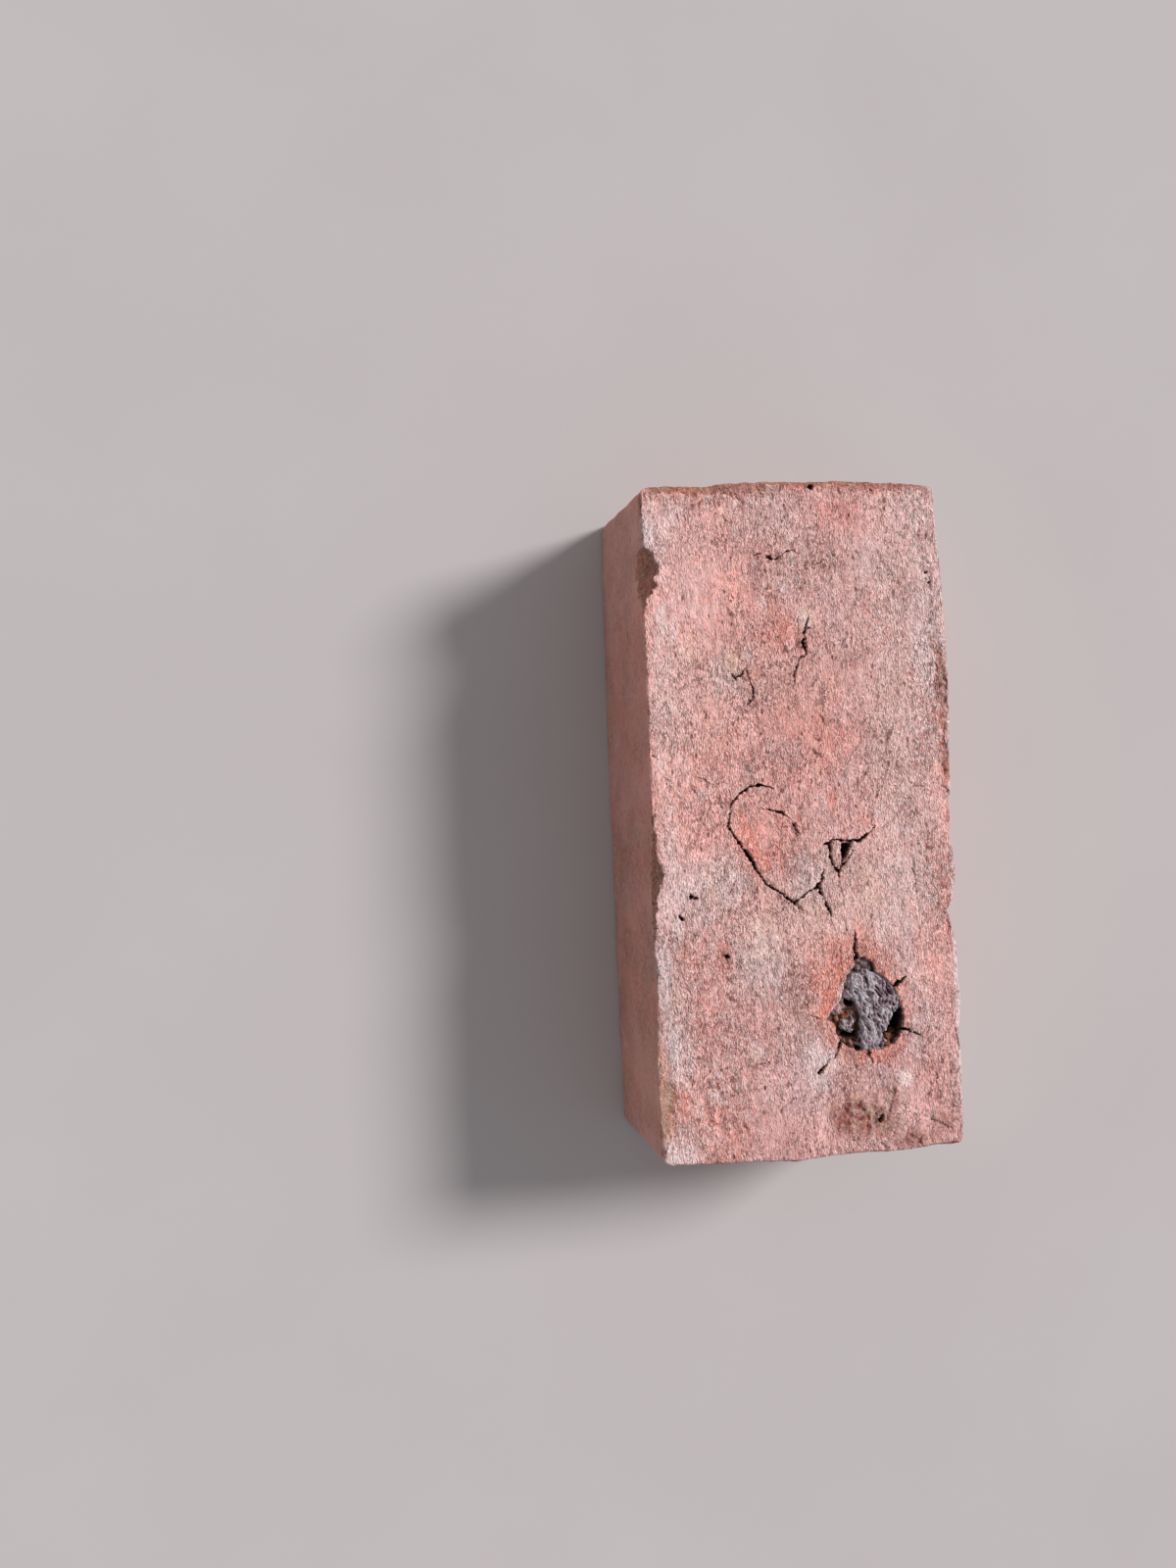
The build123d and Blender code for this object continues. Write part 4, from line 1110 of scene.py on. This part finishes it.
def grainy_skin(n, colour):
    """Grain, pores and small tears of the skin, with painted shade in its valleys, pores and tears and
    painted highlight on its crests. Returns its colour and a height from 0 to 1.
    """
    smooth = n.mask("wall").span(0, 1, 1.0, 0.4)
    coarse = n.mask("coarse").max(n.noise(34, 2.0).span(0.42, 0.6, 0.1, 0.8)) * smooth
    vigour = n.noise(45, 2.0).span(0.36, 0.64, 0.64, 1.04) + coarse * 0.42
    vigour = vigour + n.mask("sandy") * 0.42 - n.mask("calm") * 0.36 - n.mask("wall") * 0.2
    fine = n.noise(1.0, 4.0, (330, 800, 800), 0.62)
    grain = n.noise(1500, 1.0, (0.56, 1.25, 1.25), 0.6)
    grit = n.grit((1150, 2350, 2350))
    height = (fine - 0.5) * 0.34 + (n.noise(150, 2.0) - 0.5) * 0.08
    height = height + (grain - 0.5) * 0.34 + (grit - 0.5) * 0.07
    height = height + n.scales((200, 330, 330)) * 0.22 * coarse + n.scales((420, 620, 620)) * 0.2 * coarse
    height = (height + n.scales((640, 900, 900)) * 0.3) * vigour
    height = height + n.spots((230, 330, 330), 0.3, 0.42) * coarse.span(0, 1, 0.05, 0.16) + 0.49

    pores = n.spots((250, 380, 380), 0.28, 0.27) * smooth
    curl = abs(n.noise(190, 3.0, (0.8, 1.2, 1.2), 0.6, 0.5) - 0.5).span(0.028, 0.004)
    curl = curl * n.noise(330, 2.0).span(0.45, 0.62) * coarse
    tears = n.noise(1.0, 2.0, (330, 600, 600), 0.6, 0.8).span(0.38, 0.34) * smooth
    tears = tears * coarse.span(0.0, 0.8, 0.3, 1.0)
    tears = tears.max(curl).max(n.mask("mark") * 0.8)
    tint = n.noise(1.0, 2.0, (200, 280, 280), 0.6)
    colour = n.layers(
        colour,
        (CLAY_RUST, tint.span(0.44, 0.3, 0, 0.38)),
        (CLAY_CREAM, tint.span(0.54, 0.7, 0, 0.42)),
        (DUST_GREY, n.noise(1.0, 2.5, (170, 260, 260), 0.6).span(0.54, 0.7, 0, 0.32)),
        # painted shade on the low grain and painted highlight on the high grain, over redder clay and pale
        # dust
        (VALLEY_RED_AND_SHADE, height.span(0.47, 0.31, 0, 0.62)),
        (CREST_DUST_AND_HIGHLIGHT, height.span(0.51, 0.65, 0, 0.65)),
        (VALLEY_RED_AND_SHADE, grit.span(0.35, 0.0, 0, 0.5) * vigour),
        (CREST_DUST_AND_HIGHLIGHT, grit.span(0.65, 1.0, 0, 0.55) * vigour),
        # painted shade in the pores and short tears
        (CRUMB_BROWN_AND_SHADE, pores * 0.7),
        (CRUMB_BROWN_AND_SHADE, tears * 0.75),
        # pale dust, and a painted highlight where its patches run along the right arris
        (PALE_DUST_AND_HIGHLIGHT, n.mask("pale") * fine.span(0.4, 0.56, 0.3, 1.0) * 0.75),
        (SCAB_GREY, n.mask("scab") * fine.span(0.4, 0.56, 0.3, 0.8)),
        (LUMP_CREAM, n.mask("cream") * fine.span(0.38, 0.56, 0.3, 0.85)),
        (WALL_BROWN, n.mask("wall") * 0.45),
        (DUST_CREAM, n.noise(900, 1.0).span(0.73, 0.78, 0, 0.8)),
        # painted shade: scattered dark specks for the shadows in tiny pits
        (SPECK_SHADE, n.noise(650, 1.0).span(0.255, 0.215, 0, 0.75)),
    )
    return colour, height - pores * 0.2 - tears * 0.2


def bared_clay(n, colour, sand):
    """Colour where the skin is off: torn places, broken edges and smooth tan slopes."""
    torn = n.mask("torn")
    # the torn rust turns darker where its sand is low, partly painted shade
    rust = n.layers(TORN_RUST, (VALLEY_RED_AND_SHADE, sand.span(0.5, 0.35)))
    broken = n.layers(
        BROKEN_BROWN,
        (BROKEN_TAN, sand.span(0.42, 0.6)),
        (CLAY_ORANGE, n.noise(260, 3.0).span(0.45, 0.65, 0, 0.8)),
        (DUST_CREAM, n.noise(620, 2.0).span(0.6, 0.68, 0, 0.8)),
        # dark specks of the broken clay: brown crumbs and painted shade in its little holes
        (CRUMB_BROWN_AND_SHADE, n.noise(560, 2.0).span(0.37, 0.31, 0, 0.8)),
        (BROKEN_DEEP, n.mask("deep") * 0.85),
    )
    undusted = n.mask("pale").span(0.1, 0.8, 1.0, 0.1)
    tan = n.layers(TAN_LIGHT, (TAN_DEEP, n.noise(1.0, 3.0, (130, 420, 420)).span(0.4, 0.62)))
    return n.layers(
        colour,
        (rust, torn * sand.span(0.34, 0.6, 0.9, 0.2)),
        (DUST_CREAM, torn * n.noise(430, 2.0).span(0.56, 0.62, 0, 0.85)),
        # dark bits of the torn places: brown crumbs and painted shadow among them
        (CRUMB_BROWN_AND_SHADE, torn * n.noise(390, 2.0, (1.1, 1, 1)).span(0.42, 0.36, 0, 0.8)),
        (broken, n.mask("broken") * sand.span(0.25, 0.5, 0.5, 1.0) * undusted),
        (tan, n.mask("tan") * 0.85),
    )


def pit_and_cracks(n, colour):
    """Colour of the clinker pit, its slag and crumbs, with painted shade deep in it and painted highlight on
    its pale rim and lit wall, and of the dark cracks, whose darkness is painted shade.
    """
    thread = n.mask("thread")
    crumb = n.layers(CRUMB_BROWN_AND_SHADE, (CRUMB_ORANGE, n.noise(600, 3.0).span(0.4, 0.6)))
    slag = n.layers(SLAG_DARK, (SLAG_GREY, thread.span(0.26, 0.46)), (SLAG_LIGHT, thread.span(0.46, 0.72)),
                    (SLAG_MAUVE, n.noise(240, 3.0).span(0.5, 0.68, 0, 0.6)))
    # the pit's own dark red-brown, partly painted shade; black is painted shade that grows with depth, pink a
    # painted highlight on its lit wall
    pit = n.layers(PIT_RED_AND_SHADE, (PIT_BROWN_AND_SHADE, n.noise(500, 3.0).span(0.4, 0.6)), (crumb, n.mask("crumb")),
                   (slag, n.mask("slag")), (PIT_SHADE_BLACK, n.mask("gloom")), (PIT_WALL_HIGHLIGHT, n.mask("lit")))
    # painted highlight: the pale line on the pit's rim
    return n.layers(colour, (pit, n.mask("pit")), (PALE_DUST_AND_HIGHLIGHT, n.mask("rim") * 0.8),
                    # painted shade in the cracks: brown at their edges, black where they are deep
                    (CRUMB_BROWN_AND_SHADE, n.mask("crack").span(0.0, 0.5, 0, 0.8)),
                    (CRACK_SHADE_BLACK, n.mask("crack").span(0.3, 0.9)))


def clay_material():
    """Pink-red fired clay, dragged along its length, with dust, worn edges and a slag pit, and with painted
    shade and highlight in its colour.
    """
    n = Nodes("fired_clay")
    n.bend(((45, 0.004), (140, 0.0014)))
    sand = n.noise(1.0, 5.0, (800, 800, 800), 0.7)
    colour, height = grainy_skin(n, mottled_clay(n))
    colour = pit_and_cracks(n, bared_clay(n, colour, sand))
    rough = n.mask("broken") + n.mask("torn") + n.mask("pit")
    normal = n.bump(sand * rough.span(0.0, 1.0), SAND_RELIEF, Normal=n.bump(height, GRAIN_RELIEF))
    return n.surface(colour, n.mask("slag").span(0, 1, 0.93, 0.7), Normal=normal)


def floor_material():
    """Plain pale floor."""
    n = Nodes("pale_floor")
    return n.surface(n.layers(FLOOR_GREY, (FLOOR_PALE, n.noise(9, 3.0))), 0.9)


def make_floor():
    """A large plain floor under the brick."""
    bm = bmesh.new()
    bmesh.ops.create_grid(bm, x_segments=4, y_segments=4, size=FLOOR_REACH)
    mesh = bpy.data.meshes.new("floor")
    bm.to_mesh(mesh)
    bm.free()
    mesh.materials.append(floor_material())
    floor = bpy.data.objects.new("floor", mesh)
    bpy.context.scene.collection.objects.link(floor)


def make_camera():
    """The photograph's view: from above and left of the brick, with its head end up."""
    place = Vector(CAMERA_PLACE) * MM
    forward = (Vector(CAMERA_TARGET) * MM - place).normalized()
    up = Vector((-1, 0, 0))
    up = (up - forward * up.dot(forward)).normalized()
    up = Matrix.Rotation(math.radians(CAMERA_ROLL), 3, -forward) @ up
    turn = Matrix((forward.cross(up), up, -forward)).transposed().to_4x4()
    data = bpy.data.cameras.new("camera")
    data.lens = CAMERA_LENS
    data.sensor_width = 36.0
    data.clip_start = 0.01
    camera = bpy.data.objects.new("camera", data)
    camera.matrix_world = Matrix.Translation(place) @ turn
    bpy.context.scene.collection.objects.link(camera)
    bpy.context.scene.camera = camera


def make_light():
    """Soft daylight: a wide sun from the right and a pale grey surround."""
    data = bpy.data.lights.new("window", "SUN")
    data.angle = math.radians(SUN_SPREAD)
    data.energy = SUN_STRENGTH
    data.color = SUN_COLOUR
    lamp = bpy.data.objects.new("window", data)
    lamp.location = Vector(SUN_PLACE)
    lamp.rotation_euler = (-Vector(SUN_PLACE)).to_track_quat("-Z", "Y").to_euler()
    bpy.context.scene.collection.objects.link(lamp)
    world = bpy.data.worlds.new("surround")
    world.use_nodes = True
    back = world.node_tree.nodes["Background"]
    back.inputs["Color"].default_value = SKY_COLOUR
    back.inputs["Strength"].default_value = SKY_STRENGTH
    bpy.context.scene.world = world
    bpy.context.scene.view_settings.view_transform = "Standard"


make_camera()
make_light()
make_floor()

body = make_body()
body.data.materials.append(clay_material())
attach(body, "root")
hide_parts("brick")
